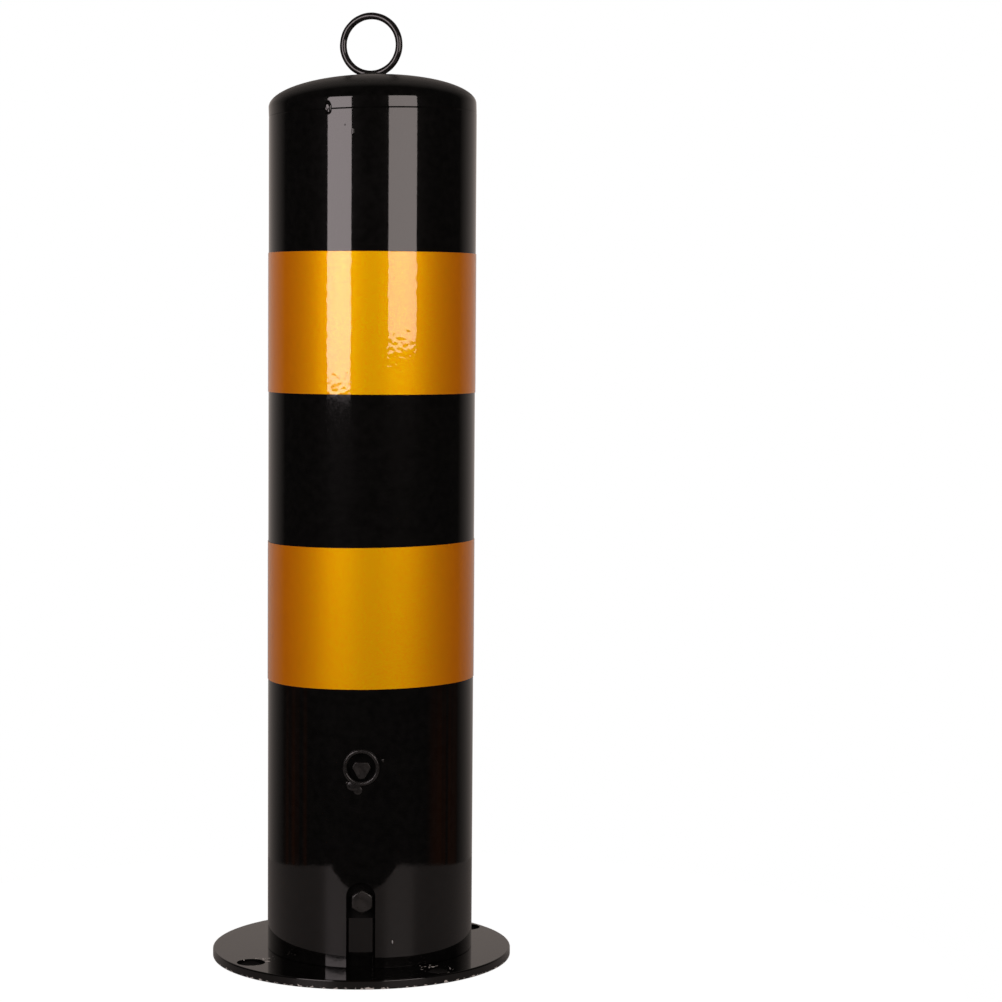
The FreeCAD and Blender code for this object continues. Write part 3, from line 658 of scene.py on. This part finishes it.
flange_profile = [(POLE, 0)]
flange_profile += arc((FLANGE_RADIUS - FLANGE_ROUND, FLANGE_ROUND), FLANGE_ROUND, -90, 0)
flange_profile += arc((FLANGE_RADIUS - FLANGE_ROUND, FLANGE_THICKNESS - FLANGE_ROUND), FLANGE_ROUND, 0, 90)
flange_profile += [(POLE, FLANGE_THICKNESS)]
flange = lathe("flange", flange_profile, FINE_STEPS)
hole_places = []
for index in range(ANCHOR_COUNT):
    angle = ANCHOR_START + 2 * math.pi * index / ANCHOR_COUNT
    place = Vector((ANCHOR_CIRCLE * math.cos(angle), ANCHOR_CIRCLE * math.sin(angle), 0))
    cut(flange, round_bar("anchor_hole", ANCHOR_RADIUS, 4 * FLANGE_THICKNESS, place))
    hole_places.append(place.xy)
soften(flange, HOLE_ROUND, angle=60)
smooth(flange)
finish_piece(flange, "base", "black_paint", "base_flange")

# %% Chipped and glinting edges of the flange
WEAR_AND_GLINT = "wear_and_glint_marks"
HOLE_WEAR_AND_GLINT = 1.0
RIM_WEAR_AND_GLINT = 1.12
EDGE_SLACK = 0.05 * MM

# The marked points get a pale primer: chipped paint, and painted highlights for glints on the lower rim and
# the holes' upper edges.
wear_and_glint_marks = flange.data.attributes.new(WEAR_AND_GLINT, "FLOAT", "POINT")
for vertex, mark in zip(flange.data.vertices, wear_and_glint_marks.data):
    upper_half = vertex.co.z > FLANGE_THICKNESS / 2
    to_hole = min(abs((vertex.co.xy - place).length - ANCHOR_RADIUS) for place in hole_places)
    if upper_half and to_hole < HOLE_ROUND + EDGE_SLACK:
        mark.value = HOLE_WEAR_AND_GLINT
    elif not upper_half and vertex.co.xy.length > FLANGE_RADIUS - FLANGE_ROUND:
        mark.value = RIM_WEAR_AND_GLINT
print("flange with", sum(mark.value > 0 for mark in wear_and_glint_marks.data), "worn points")

# %% Stub
stub_low, stub_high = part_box("base_stub")
STUB_WALL = 2 * MM
STUB_RADIUS = stub_high.x
STUB_BORE = STUB_RADIUS - STUB_WALL
STUB_FOOT = stub_low.z
STUB_TOP = stub_high.z
STUB_ROUND = 0.25 * MM
STUB_STEPS = 192
stop_low, stop_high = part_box("stop_bolt")
stop_height = (stop_low.z + stop_high.z) / 2
STOP_HOLE = 3.3 * MM
RECESS_SHADE_FOOT = 31.2 * MM
KEYHOLE_RADIUS = 12.44 * MM
KEYHOLE_SLOT = 4.4 * MM
KEYHOLE_ROOM = 20 * MM
keyhole_height = POST_PLACE.z + spindle_height
keyhole_ring = keyhole_height - KEYHOLE_ROOM

stub_profile = [(STUB_BORE, STUB_FOOT), (STUB_RADIUS, STUB_FOOT), (STUB_RADIUS, RECESS_SHADE_FOOT)]
stub_profile += [(STUB_RADIUS, keyhole_ring), (STUB_RADIUS, STUB_TOP)]
stub_profile += [(STUB_BORE, STUB_TOP), (STUB_BORE, keyhole_ring), (STUB_BORE, STUB_FOOT)]
stub = lathe("stub", stub_profile, STUB_STEPS)
slot_low = (-KEYHOLE_SLOT, -PAST_WALL * STUB_RADIUS, keyhole_height)
slot_high = (KEYHOLE_SLOT, 0, STUB_TOP + SPARE)
cut(stub, block("keyhole_slot", slot_low, slot_high))
for radius, height in ((KEYHOLE_RADIUS, keyhole_height), (STOP_HOLE, stop_height)):
    cut(stub, round_bar("stub_hole", radius, STUB_RADIUS, (0, -STUB_RADIUS, height), FACING_FRONT))
soften(stub, STUB_ROUND)
smooth(stub)
finish_piece(stub, "base", "black_paint", "base_stub")

# %% Stub weld
WELD_LEG = 4 * MM
WELD_START = 105
WELD_RINGS = 5

weld_profile = [(STUB_BORE, STUB_FOOT), (STUB_BORE, STUB_FOOT + WELD_LEG)]
weld_profile += arc((STUB_BORE, STUB_FOOT), WELD_LEG, WELD_START, 180, WELD_RINGS)
weld_profile += [(STUB_BORE, STUB_FOOT)]
weld = lathe("stub_weld_bead", weld_profile, FINE_STEPS)
lump(weld, size=4 * MM, depth=0.6 * MM)
smooth(weld, LUMPY_ANGLE)
finish_piece(weld, "base", "black_paint", "stub_weld")

# %% [markdown]
# ## The stop bolt
#
# A hexagon bolt stands out of the stub in the tube's notch and keeps the post from turning. Its head is
# a six-sided bar, intersected with a cone for the usual bevelled face. The cone reaches past both ends of
# the head, because a Boolean can go wrong where two faces lie in one plane.

# %% Stop bolt
HEX_FLAT = 5.5 * MM
HEX_CROWN = 5.2 * MM
HEX_HEAD = 4.4 * MM
HEX_SLOPE = math.radians(30)
HEX_ROUND = 0.25 * MM
HEXAGON = 6
CONE_STEPS = 96
SHANK_RADIUS = 3 * MM
SHANK_REACH = 9 * MM
cone_foot = HEX_CROWN + (HEX_HEAD + SPARE) / math.tan(HEX_SLOPE)
cone_top = HEX_CROWN - SPARE / math.tan(HEX_SLOPE)

head = round_bar("stop_head", HEX_FLAT / math.cos(math.pi / HEXAGON), HEX_HEAD, (0, 0, HEX_HEAD / 2),
                 steps=HEXAGON)
bpy.ops.object.select_all(action="DESELECT")
bpy.ops.mesh.primitive_cone_add(vertices=CONE_STEPS, radius1=cone_foot, radius2=cone_top,
                                depth=HEX_HEAD + 2 * SPARE, location=(0, 0, HEX_HEAD / 2))
cut(head, take_new("head_cone"), "INTERSECT")
soften(head, HEX_ROUND, angle=20)
shank = round_bar("stop_shank", SHANK_RADIUS, SHANK_REACH + SPARE, (0, 0, (SPARE - SHANK_REACH) / 2))
cut(head, shank, "UNION")
head.name = "stop_bolt_skin"
smooth(head)
settle(head, place=(0, -STUB_RADIUS, stop_height), turn=FACING_FRONT)
finish_piece(head, "base", "bolt_paint", "stop_bolt")

# %% [markdown]
# ## Node groups for the finishes
#
# Gloss paint looks even, but its skin is faintly wavy, like the peel of an orange, and its gloss and tone
# vary a little, as film and bare steel have their grain. Both effects are used by several materials, so
# each is a node group that puts out a height or a mask.

# %% Adding nodes and groups


def add_node(tree, kind, **inputs):
    """Add a node and set its inputs, given by their names with underscores for spaces."""
    node = tree.nodes.new(kind)
    for name, value in inputs.items():
        node.inputs[name.replace("_", " ")].default_value = value
    return node


def new_group(name, inputs, outputs):
    """A shader node group with float inputs, given with their values, and float outputs."""
    tree = bpy.data.node_groups.new(name, "ShaderNodeTree")
    for socket, value in inputs.items():
        made = tree.interface.new_socket(socket, in_out="INPUT", socket_type="NodeSocketFloat")
        made.default_value = value
    for socket in outputs:
        tree.interface.new_socket(socket, in_out="OUTPUT", socket_type="NodeSocketFloat")
    start = tree.nodes.new("NodeGroupInput")
    end = tree.nodes.new("NodeGroupOutput")
    return tree, start, end


# %% Reckoning with nodes


def reckoned(tree, operation, first, second):
    """Put a socket and a second one, or a plain number, through one operation of the Math node."""
    node = tree.nodes.new("ShaderNodeMath")
    node.operation = operation
    tree.links.new(first, node.inputs[0])
    if isinstance(second, float):
        node.inputs[1].default_value = second
    else:
        tree.links.new(second, node.inputs[1])
    return node.outputs[0]


def summed(tree, first, second):
    """Two values added up."""
    return reckoned(tree, "ADD", first, second)


def product(tree, first, *others):
    """A value times one or more others."""
    for other in others:
        first = reckoned(tree, "MULTIPLY", first, other)
    return first


def ramp(tree, source, start, end, first=0.0, last=1.0):
    """A value that goes from first to last as a source goes from start to end."""
    node = add_node(tree, "ShaderNodeMapRange", From_Min=start, From_Max=end, To_Min=first, To_Max=last)
    tree.links.new(source, node.inputs["Value"])
    return node.outputs["Result"]


def blended(tree, share, first, second):
    """A colour, or a colour's socket, that gives way to a second one by a share."""
    node = tree.nodes.new("ShaderNodeMix")
    node.data_type = "RGBA"
    tree.links.new(share, node.inputs["Factor"])
    for name, colour in (("A", first), ("B", second)):
        if isinstance(colour, tuple):
            node.inputs[name].default_value = (*colour, 1)
        else:
            tree.links.new(colour, node.inputs[name])
    return node.outputs["Result"]


# %% Orange peel
COARSE_SCALE = 60.0
COARSE_PART = 1.5

peel_tree, peel_in, peel_out = new_group("orange_peel", {"Scale": 300.0}, ("Height",))
peel_place = peel_tree.nodes.new("ShaderNodeTexCoord")
fine_peel = add_node(peel_tree, "ShaderNodeTexNoise", Detail=1.0, Roughness=0.4)
peel_tree.links.new(peel_place.outputs["Object"], fine_peel.inputs["Vector"])
peel_tree.links.new(peel_in.outputs["Scale"], fine_peel.inputs["Scale"])
coarse_peel = add_node(peel_tree, "ShaderNodeTexNoise", Scale=COARSE_SCALE, Detail=0.0)
peel_tree.links.new(peel_place.outputs["Object"], coarse_peel.inputs["Vector"])
coarse_part = product(peel_tree, coarse_peel.outputs["Fac"], COARSE_PART)
peel_tree.links.new(summed(peel_tree, fine_peel.outputs["Fac"], coarse_part), peel_out.inputs["Height"])
print("node group", peel_tree.name)

# %% Grain
grain_tree, grain_in, grain_out = new_group("grain", {"Scale": 900.0, "Low": 0.3, "High": 0.7}, ("Mask",))
grain_place = grain_tree.nodes.new("ShaderNodeTexCoord")
grain_specks = add_node(grain_tree, "ShaderNodeTexNoise", Detail=2.0)
grain_tree.links.new(grain_place.outputs["Object"], grain_specks.inputs["Vector"])
grain_tree.links.new(grain_in.outputs["Scale"], grain_specks.inputs["Scale"])
grain_range = grain_tree.nodes.new("ShaderNodeMapRange")
grain_tree.links.new(grain_specks.outputs["Fac"], grain_range.inputs["Value"])
grain_tree.links.new(grain_in.outputs["Low"], grain_range.inputs["From Min"])
grain_tree.links.new(grain_in.outputs["High"], grain_range.inputs["From Max"])
grain_tree.links.new(grain_range.outputs["Result"], grain_out.inputs["Mask"])
print("node group", grain_tree.name)

# %% [markdown]
# ## The paints, the film and the steel
#
# The black enamel is nearly black and very glossy, so what one sees is the room in it. At the marked edges
# of a piece, the paint is chipped to a pale primer, whose spots are also painted highlights for glints
# there.
# The cap has a little dust on it. The ring, the lock's rim and drops and the bolt are painted thicker and
# less glossy. The stub behind the bolt is painted dull so that it reflects little: painted shade for the
# recess behind the notch. The film is gold and partly metallic under a clear skin. It is ripplier than the
# paint, fine beads give it a grain, and its colour is painted a deeper orange at a slant: painted shade for
# the band's dimmer sides.

# %% Helpers for materials


def start_material(name):
    """A material with one Principled shader, and its tree."""
    material = bpy.data.materials.new(name)
    material.use_nodes = True
    return material, material.node_tree, material.node_tree.nodes["Principled BSDF"]


def add_group(tree, group, **inputs):
    """Place a node group in a material with its own values."""
    node = tree.nodes.new("ShaderNodeGroup")
    node.node_tree = group
    for name, value in inputs.items():
        node.inputs[name].default_value = value
    return node


def rippled(tree, shader, scale, depth):
    """Give a shader the orange peel's bump, with its depth in metres."""
    peel = add_group(tree, peel_tree, Scale=scale)
    bump = add_node(tree, "ShaderNodeBump", Strength=1.0, Distance=depth)
    tree.links.new(peel.outputs["Height"], bump.inputs["Height"])
    tree.links.new(bump.outputs["Normal"], shader.inputs["Normal"])


def tinted(tree, shader, mask, first, second):
    """Colour a shader between two colours, by a mask."""
    tree.links.new(blended(tree, mask, first, second), shader.inputs["Base Color"])


def roughened(tree, shader, mask, smoothest, roughest):
    """Let a mask drive a shader's roughness between two values."""
    tree.links.new(ramp(tree, mask, 0.0, 1.0, smoothest, roughest), shader.inputs["Roughness"])


# %% Paint that chips, with painted glints at marked edges
CLOUDING_SCALE = 240.0
FLAKE_SCALE = 420.0
SPECK_SCALE = 700.0
PAINT_PEEL = 260.0
CHIP_GLINT_START = 0.58
CHIP_GLINT_FULL = 0.62
HAZE_ROUGHNESS = 0.36
PRIMER_GLINT = (0.55, 0.54, 0.52)


def enamel(name, dark, pale, ripple, smoothest, roughest, haze):
    """Paint between two tones, with a ripple in metres, roughness and haze. Where a piece's points are
    marked, the paint is chipped to a pale primer, which also paints glints there.
    """
    material, tree, shader = start_material(name)
    clouding = add_group(tree, grain_tree, Scale=CLOUDING_SCALE)
    paint = blended(tree, clouding.outputs["Mask"], dark, pale)
    # A pale primer where points are marked: chipped paint, and painted highlights for glints on those edges.
    worn_and_glinting = tree.nodes.new("ShaderNodeAttribute")
    worn_and_glinting.attribute_name = WEAR_AND_GLINT
    flakes_and_glints = add_group(tree, grain_tree, Scale=FLAKE_SCALE, Low=0.0, High=1.0)
    loose_chips_and_glints = product(tree, worn_and_glinting.outputs["Fac"], flakes_and_glints.outputs["Mask"])
    tinted(tree, shader, ramp(tree, loose_chips_and_glints, CHIP_GLINT_START, CHIP_GLINT_FULL), paint, PRIMER_GLINT)
    specks = add_group(tree, grain_tree, Scale=SPECK_SCALE)
    roughened(tree, shader, specks.outputs["Mask"], smoothest, roughest)
    rippled(tree, shader, PAINT_PEEL, ripple)
    shader.inputs["Coat Weight"].default_value = haze
    shader.inputs["Coat Roughness"].default_value = HAZE_ROUGHNESS
    return material


GLOSS_BLACK = {"dark": (0.0012, 0.0011, 0.0010), "pale": (0.0032, 0.0031, 0.0030), "ripple": 6e-6,
               "smoothest": 0.03, "roughest": 0.06, "haze": 0.045}
black_enamel = enamel("black_enamel", **GLOSS_BLACK)
print("paint", black_enamel.name)

# %% Dusty paint of the cap
DUST_START = 0.45
DUST_FULL = 0.72
DUST_SHOULDER = 0.3
DUST_CROWN = 0.7
DUST_ROUGHNESS = 0.3

cap_enamel = enamel("cap_enamel", **GLOSS_BLACK)
cap_tree = cap_enamel.node_tree
cap_roughness = cap_tree.nodes["Principled BSDF"].inputs["Roughness"]
cap_slant = add_node(cap_tree, "ShaderNodeLayerWeight", Blend=0.5)
cap_upward = cap_tree.nodes.new("ShaderNodeSeparateXYZ")
cap_tree.links.new(cap_tree.nodes.new("ShaderNodeNewGeometry").outputs["Normal"], cap_upward.inputs[0])
at_a_slant = ramp(cap_tree, cap_slant.outputs["Facing"], DUST_START, DUST_FULL)
facing_up = ramp(cap_tree, cap_upward.outputs["Z"], DUST_SHOULDER, DUST_CROWN)
dust = product(cap_tree, at_a_slant, facing_up, DUST_ROUGHNESS)
cap_tree.links.new(summed(cap_tree, cap_roughness.links[0].from_socket, dust), cap_roughness)
print("paint", cap_enamel.name)

# %% Thicker and duller paints, and the stub's painted shade
THICK_TONES = ((0.006, 0.0058, 0.0055), (0.014, 0.0135, 0.013))
BOLT_TONES = ((0.008, 0.0075, 0.007), (0.022, 0.021, 0.02))
RECESS_SHADE_TONES = ((0.0015, 0.0014, 0.0013), (0.004, 0.0038, 0.0036))
RECESS_SHADE_GLOSS = 0.12

weld_enamel = enamel("weld_enamel", *THICK_TONES, ripple=3e-5, smoothest=0.22, roughest=0.36, haze=0.0)
ring_enamel = enamel("ring_enamel", *THICK_TONES, ripple=1.5e-5, smoothest=0.10, roughest=0.18, haze=0.08)
bolt_enamel = enamel("bolt_enamel", *BOLT_TONES, ripple=3e-5, smoothest=0.26, roughest=0.42, haze=0.0)
# The stub's paint is dull and reflects little: painted shade for the recess behind the notch.
recess_shade_enamel = enamel("recess_shade_enamel", *RECESS_SHADE_TONES, ripple=2e-5, smoothest=0.45, roughest=0.65, haze=0.0)
recess_shade_enamel.node_tree.nodes["Principled BSDF"].inputs["Specular IOR Level"].default_value = RECESS_SHADE_GLOSS
print("paints", weld_enamel.name, ring_enamel.name, bolt_enamel.name, recess_shade_enamel.name)

# %% Gold film
LACQUER = (1.0, 0.15, 0.0)
BEADS = (1.0, 0.90, 0.0)
SHADED_SIDE_GOLD = (1.0, 0.30, 0.0)
FULL_SLANT = 0.42
BEAD_SCALE = 6500.0
FILM_ROUGHNESS = 0.5
FILM_PEEL = 420.0
FILM_PEEL_DEPTH = 2.2e-5
SKIN_ROUGHNESS = 0.03
SKIN_IOR = 1.62

gold_film, gold_tree, gold_shader = start_material("gold_reflective_film")
gold_shader.inputs["Roughness"].default_value = FILM_ROUGHNESS
gold_shader.inputs["Specular IOR Level"].default_value = 0.0
gold_shader.inputs["Coat Weight"].default_value = 1.0
gold_shader.inputs["Coat Roughness"].default_value = SKIN_ROUGHNESS
gold_shader.inputs["Coat IOR"].default_value = SKIN_IOR
rippled(gold_tree, gold_shader, FILM_PEEL, FILM_PEEL_DEPTH)
bead_grain = add_group(gold_tree, grain_tree, Scale=BEAD_SCALE, Low=0.36, High=0.64)
# The film's colour is painted a deeper orange as it turns away from the view: painted shade for the band's
# dimmer sides.
slant = add_node(gold_tree, "ShaderNodeLayerWeight", Blend=0.5)
front_gold = blended(gold_tree, bead_grain.outputs["Mask"], LACQUER, BEADS)
side_shade_share = ramp(gold_tree, slant.outputs["Facing"], 0.0, FULL_SLANT)
tinted(gold_tree, gold_shader, side_shade_share, front_gold, SHADED_SIDE_GOLD)
gold_tree.links.new(bead_grain.outputs["Mask"], gold_shader.inputs["Metallic"])
print("film", gold_film.name)

# %% Zinc plated steel
ZINC_TONES = ((0.46, 0.46, 0.48), (0.64, 0.64, 0.64))
ZINC_ROUGHNESS = (0.28, 0.46)
SPANGLE_SCALE = 300.0

zinc_steel, zinc_tree, zinc_shader = start_material("zinc_steel")
zinc_shader.inputs["Metallic"].default_value = 1.0
spangle = add_group(zinc_tree, grain_tree, Scale=SPANGLE_SCALE)
tinted(zinc_tree, zinc_shader, spangle.outputs["Mask"], *ZINC_TONES)
roughened(zinc_tree, zinc_shader, spangle.outputs["Mask"], *ZINC_ROUGHNESS)
print("steel", zinc_steel.name)

# %% Dressing the pieces
FINISHES = {"black_paint": black_enamel, "bolt_paint": bolt_enamel, "gold_film": gold_film,
            "zinc_steel": zinc_steel}
for finish, pieces in dressed.items():
    for piece in pieces:
        piece.data.materials.clear()
        piece.data.materials.append(FINISHES[finish])
for slot in frame["nodes"]["stop_nut"].material_slots:
    slot.material = zinc_steel
print("materials", [material.name for material in FINISHES.values()])

# %% Pieces and faces with a paint of their own


def repaint(piece, material, belongs):
    """Give a second material to the faces of a piece that belong to it."""
    piece.data.materials.append(material)
    for face in piece.data.polygons:
        if belongs(face.center):
            face.material_index = 1


for name, drop in drops.items():
    if name.startswith("lock"):
        drop.data.materials[0] = weld_enamel
drops["bare_speck"].data.materials[0] = zinc_steel
ring.data.materials[0] = ring_enamel
cap.data.materials[0] = cap_enamel
repaint(cup, weld_enamel, lambda place: (POST_PLACE - place).xy.length > TUBE_RADIUS - RIM_ROUND)
# The stub above its lowest ring gets the dull paint: painted shade for the recess behind the notch.
repaint(stub, recess_shade_enamel, lambda place: place.z > RECESS_SHADE_FOOT)
print("faces of the cup's rim", sum(face.material_index for face in cup.data.polygons))

# %% [markdown]
# ## Floor, light and camera
#
# The photograph was taken on a white table in a dark room, with a soft light on each side of the
# camera. The black paint shows it all: two bright strips, the table's front edge as a dark wedge over
# the notch, and the pale background along the outlines. So the floor ends in front of the post, in two
# straight edges that meet at a corner, the room in front is dark, dim warm streaks low at the sides stand
# for its walls, and the background is white to the camera and pale in the reflections.

# %% Floor
FLOOR_RADIUS = 0.321
FLOOR_MIDDLE = -0.035
FLOOR_STEPS = 128
FRONT_CORNER = Vector((-0.05, -0.262, 0))
FRONT_TURNS = (math.radians(0), math.radians(-13))

bpy.ops.object.select_all(action="DESELECT")
bpy.ops.mesh.primitive_circle_add(vertices=FLOOR_STEPS, radius=FLOOR_RADIUS, fill_type="NGON",
                                  location=(POST_PLACE.x, FLOOR_MIDDLE, 0))
floor = take_new("floor")
front_normals = [Vector((math.sin(turn), -math.cos(turn), 0)) for turn in FRONT_TURNS]
for normal in front_normals:
    with editing(floor):
        bpy.ops.mesh.bisect(plane_co=FRONT_CORNER, plane_no=normal)
for face in floor.data.polygons:
    face.select = all((face.center - FRONT_CORNER).dot(normal) > 0 for normal in front_normals)
only(floor)
bpy.ops.object.mode_set(mode="EDIT")
bpy.ops.mesh.delete(type="FACE")
bpy.ops.object.mode_set(mode="OBJECT")
floor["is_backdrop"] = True
print("floor of", len(floor.data.polygons), "faces and radius", FLOOR_RADIUS)

# %% Floor paper
PAPER = (0.42, 0.41, 0.40, 1)
PAPER_ROUGHNESS = 0.42
PAPER_GLOSS = 0.35
FLOOR_GLOW = 1.3
CAMERA_SHARE = 0.75
GLOSS_SHARE = 0.02

floor_paper, floor_tree, paper = start_material("floor_paper")
paper.inputs["Base Color"].default_value = PAPER
paper.inputs["Roughness"].default_value = PAPER_ROUGHNESS
paper.inputs["Specular IOR Level"].default_value = PAPER_GLOSS
glow = add_node(floor_tree, "ShaderNodeEmission", Color=(1, 1, 1, 1), Strength=FLOOR_GLOW)
floor_rays = floor_tree.nodes.new("ShaderNodeLightPath")
camera_share = product(floor_tree, floor_rays.outputs["Is Camera Ray"], CAMERA_SHARE)
mirrored = summed(floor_tree, floor_rays.outputs["Is Glossy Ray"], floor_rays.outputs["Is Transmission Ray"])
glow_share = summed(floor_tree, camera_share, product(floor_tree, mirrored, GLOSS_SHARE))
floor_mix = floor_tree.nodes.new("ShaderNodeMixShader")
floor_end = floor_tree.nodes["Material Output"]
floor_tree.links.new(glow_share, floor_mix.inputs[0])
floor_tree.links.new(paper.outputs[0], floor_mix.inputs[1])
floor_tree.links.new(glow.outputs[0], floor_mix.inputs[2])
floor_tree.links.new(floor_mix.outputs[0], floor_end.inputs["Surface"])
floor.data.materials.append(floor_paper)
print("floor's material", floor_paper.name)

# %% Backdrop behind the post
# A direction's Y is 1 straight behind the post, and its Z is 1 straight up.
BEHIND = (0.38, 0.95)
LOWER_DIM = (-0.2, -0.02, 0.5, 1.0)
UPPER_DIM = (0.05, 0.5, 1.0, 0.35)

world = bpy.data.worlds.new("studio")
bpy.context.scene.world = world
world.use_nodes = True
sky = world.node_tree
sky.nodes.clear()
directions = sky.nodes.new("ShaderNodeTexCoord").outputs["Generated"]
axes = sky.nodes.new("ShaderNodeSeparateXYZ")
sky.links.new(directions, axes.inputs[0])
backward = axes.outputs["Y"]
upward = axes.outputs["Z"]
dimming = product(sky, ramp(sky, upward, *LOWER_DIM), ramp(sky, upward, *UPPER_DIM))
backdrop_share = product(sky, ramp(sky, backward, *BEHIND), dimming)
print("world", world.name)

# %% Walls beside the post
WALL_FRONT = (-0.42, -0.2)
WALL_BACK = (0.45, 0.2)
WALL_FOOT = (-0.30, -0.22)
WALL_TOP = (-0.10, -0.17)
STREAK_SCALE = 6.0
STREAK_STRETCH = (1, 1, 0.12)
STREAK_EDGES = (0.4, 0.62)

sideways = product(sky, ramp(sky, backward, *WALL_FRONT), ramp(sky, backward, *WALL_BACK))
low_down = product(sky, ramp(sky, upward, *WALL_FOOT), ramp(sky, upward, *WALL_TOP))
streaks = add_node(sky, "ShaderNodeTexNoise", Scale=STREAK_SCALE, Detail=1.0)
stretched = add_node(sky, "ShaderNodeMapping", Scale=STREAK_STRETCH)
sky.links.new(directions, stretched.inputs["Vector"])
sky.links.new(stretched.outputs["Vector"], streaks.inputs["Vector"])
wall_share = product(sky, sideways, low_down, ramp(sky, streaks.outputs["Fac"], *STREAK_EDGES))
print("world has", len(sky.nodes), "nodes so far")

# %% What each ray sees
FILL = (0.22, 0.18, 0.16)
ROOM = (0.020, 0.019, 0.018)
WALLS = (0.10, 0.032, 0.013)
BACKDROP = (0.50, 0.435, 0.40)
WHITE = (1, 1, 1)

sky_rays = sky.nodes.new("ShaderNodeLightPath")
mirrored = summed(sky, sky_rays.outputs["Is Glossy Ray"], sky_rays.outputs["Is Transmission Ray"])
room = blended(sky, backdrop_share, blended(sky, wall_share, ROOM, WALLS), BACKDROP)
seen = blended(sky, sky_rays.outputs["Is Camera Ray"], blended(sky, mirrored, FILL, room), WHITE)
background = sky.nodes.new("ShaderNodeBackground")
sky_end = sky.nodes.new("ShaderNodeOutputWorld")
sky.links.new(seen, background.inputs["Color"])
sky.links.new(background.outputs[0], sky_end.inputs["Surface"])
print("world has", len(sky.nodes), "nodes in all")

# %% Soft lights
LIGHT_DISTANCE = 1.2


def soft_light(name, start, end, bottom, top, radiance, colour):
    """An upright soft light between two angles to the right of the camera, as seen from the post."""
    middle = math.radians((start + end) / 2)
    width = 2 * LIGHT_DISTANCE * math.tan(math.radians(end - start) / 2)
    height = top - bottom
    data = bpy.data.lights.new(name, "AREA")
    data.shape = "RECTANGLE"
    data.size = width
    data.size_y = height
    data.energy = radiance * math.pi * width * height
    data.color = colour
    light = bpy.data.objects.new(name, data)
    bpy.context.collection.objects.link(light)
    away = Vector((math.sin(middle), -math.cos(middle), 0))
    light.location = POST_PLACE + away * LIGHT_DISTANCE
    light.location.z = (bottom + top) / 2
    light.rotation_euler = away.to_track_quat("Z", "Y").to_euler()
    light.visible_camera = False
    print(name, "is", round(width, 3), "by", round(height, 3), "metres")


soft_light("left_softbox", start=-49.6, end=-22.9, bottom=0.285, top=0.96, radiance=5.3,
           colour=(1, 0.875, 0.885))
soft_light("right_softbox", start=16.8, end=48.2, bottom=0.33, top=0.96, radiance=4.1,
           colour=(1, 0.876, 0.843))

# %% Camera
# The angles are in radians.
CAMERA_PLACE = Vector((-0.65, -1470.8, 354.1)) * MM
FOCAL_PIXELS = 2655.1
IMAGE_PIXELS = 1002
SENSOR_WIDTH = 36
YAW = 0.05229
PITCH = 0.06765
ROLL = 0.00719

camera_data = bpy.data.cameras.new("camera")
camera_data.sensor_width = SENSOR_WIDTH
camera_data.lens = FOCAL_PIXELS / IMAGE_PIXELS * SENSOR_WIDTH
camera = bpy.data.objects.new("camera", camera_data)
bpy.context.collection.objects.link(camera)
aim = Matrix.Rotation(-YAW, 3, "Z") @ Matrix.Rotation(math.pi / 2 - PITCH, 3, "X")
camera.rotation_euler = (aim @ Matrix.Rotation(ROLL, 3, "Z")).to_euler()
camera.location = CAMERA_PLACE
bpy.context.scene.camera = camera
bpy.context.scene.view_settings.view_transform = "Standard"
print("camera lens", round(camera_data.lens, 1), "mm")

# %% [markdown]
# ## Sizes
#
# The box of the dressed part is printed, without the floor.

# %% Sizes and finish
low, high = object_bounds()
print("dressed box", [round(side, 4) for side in high - low])
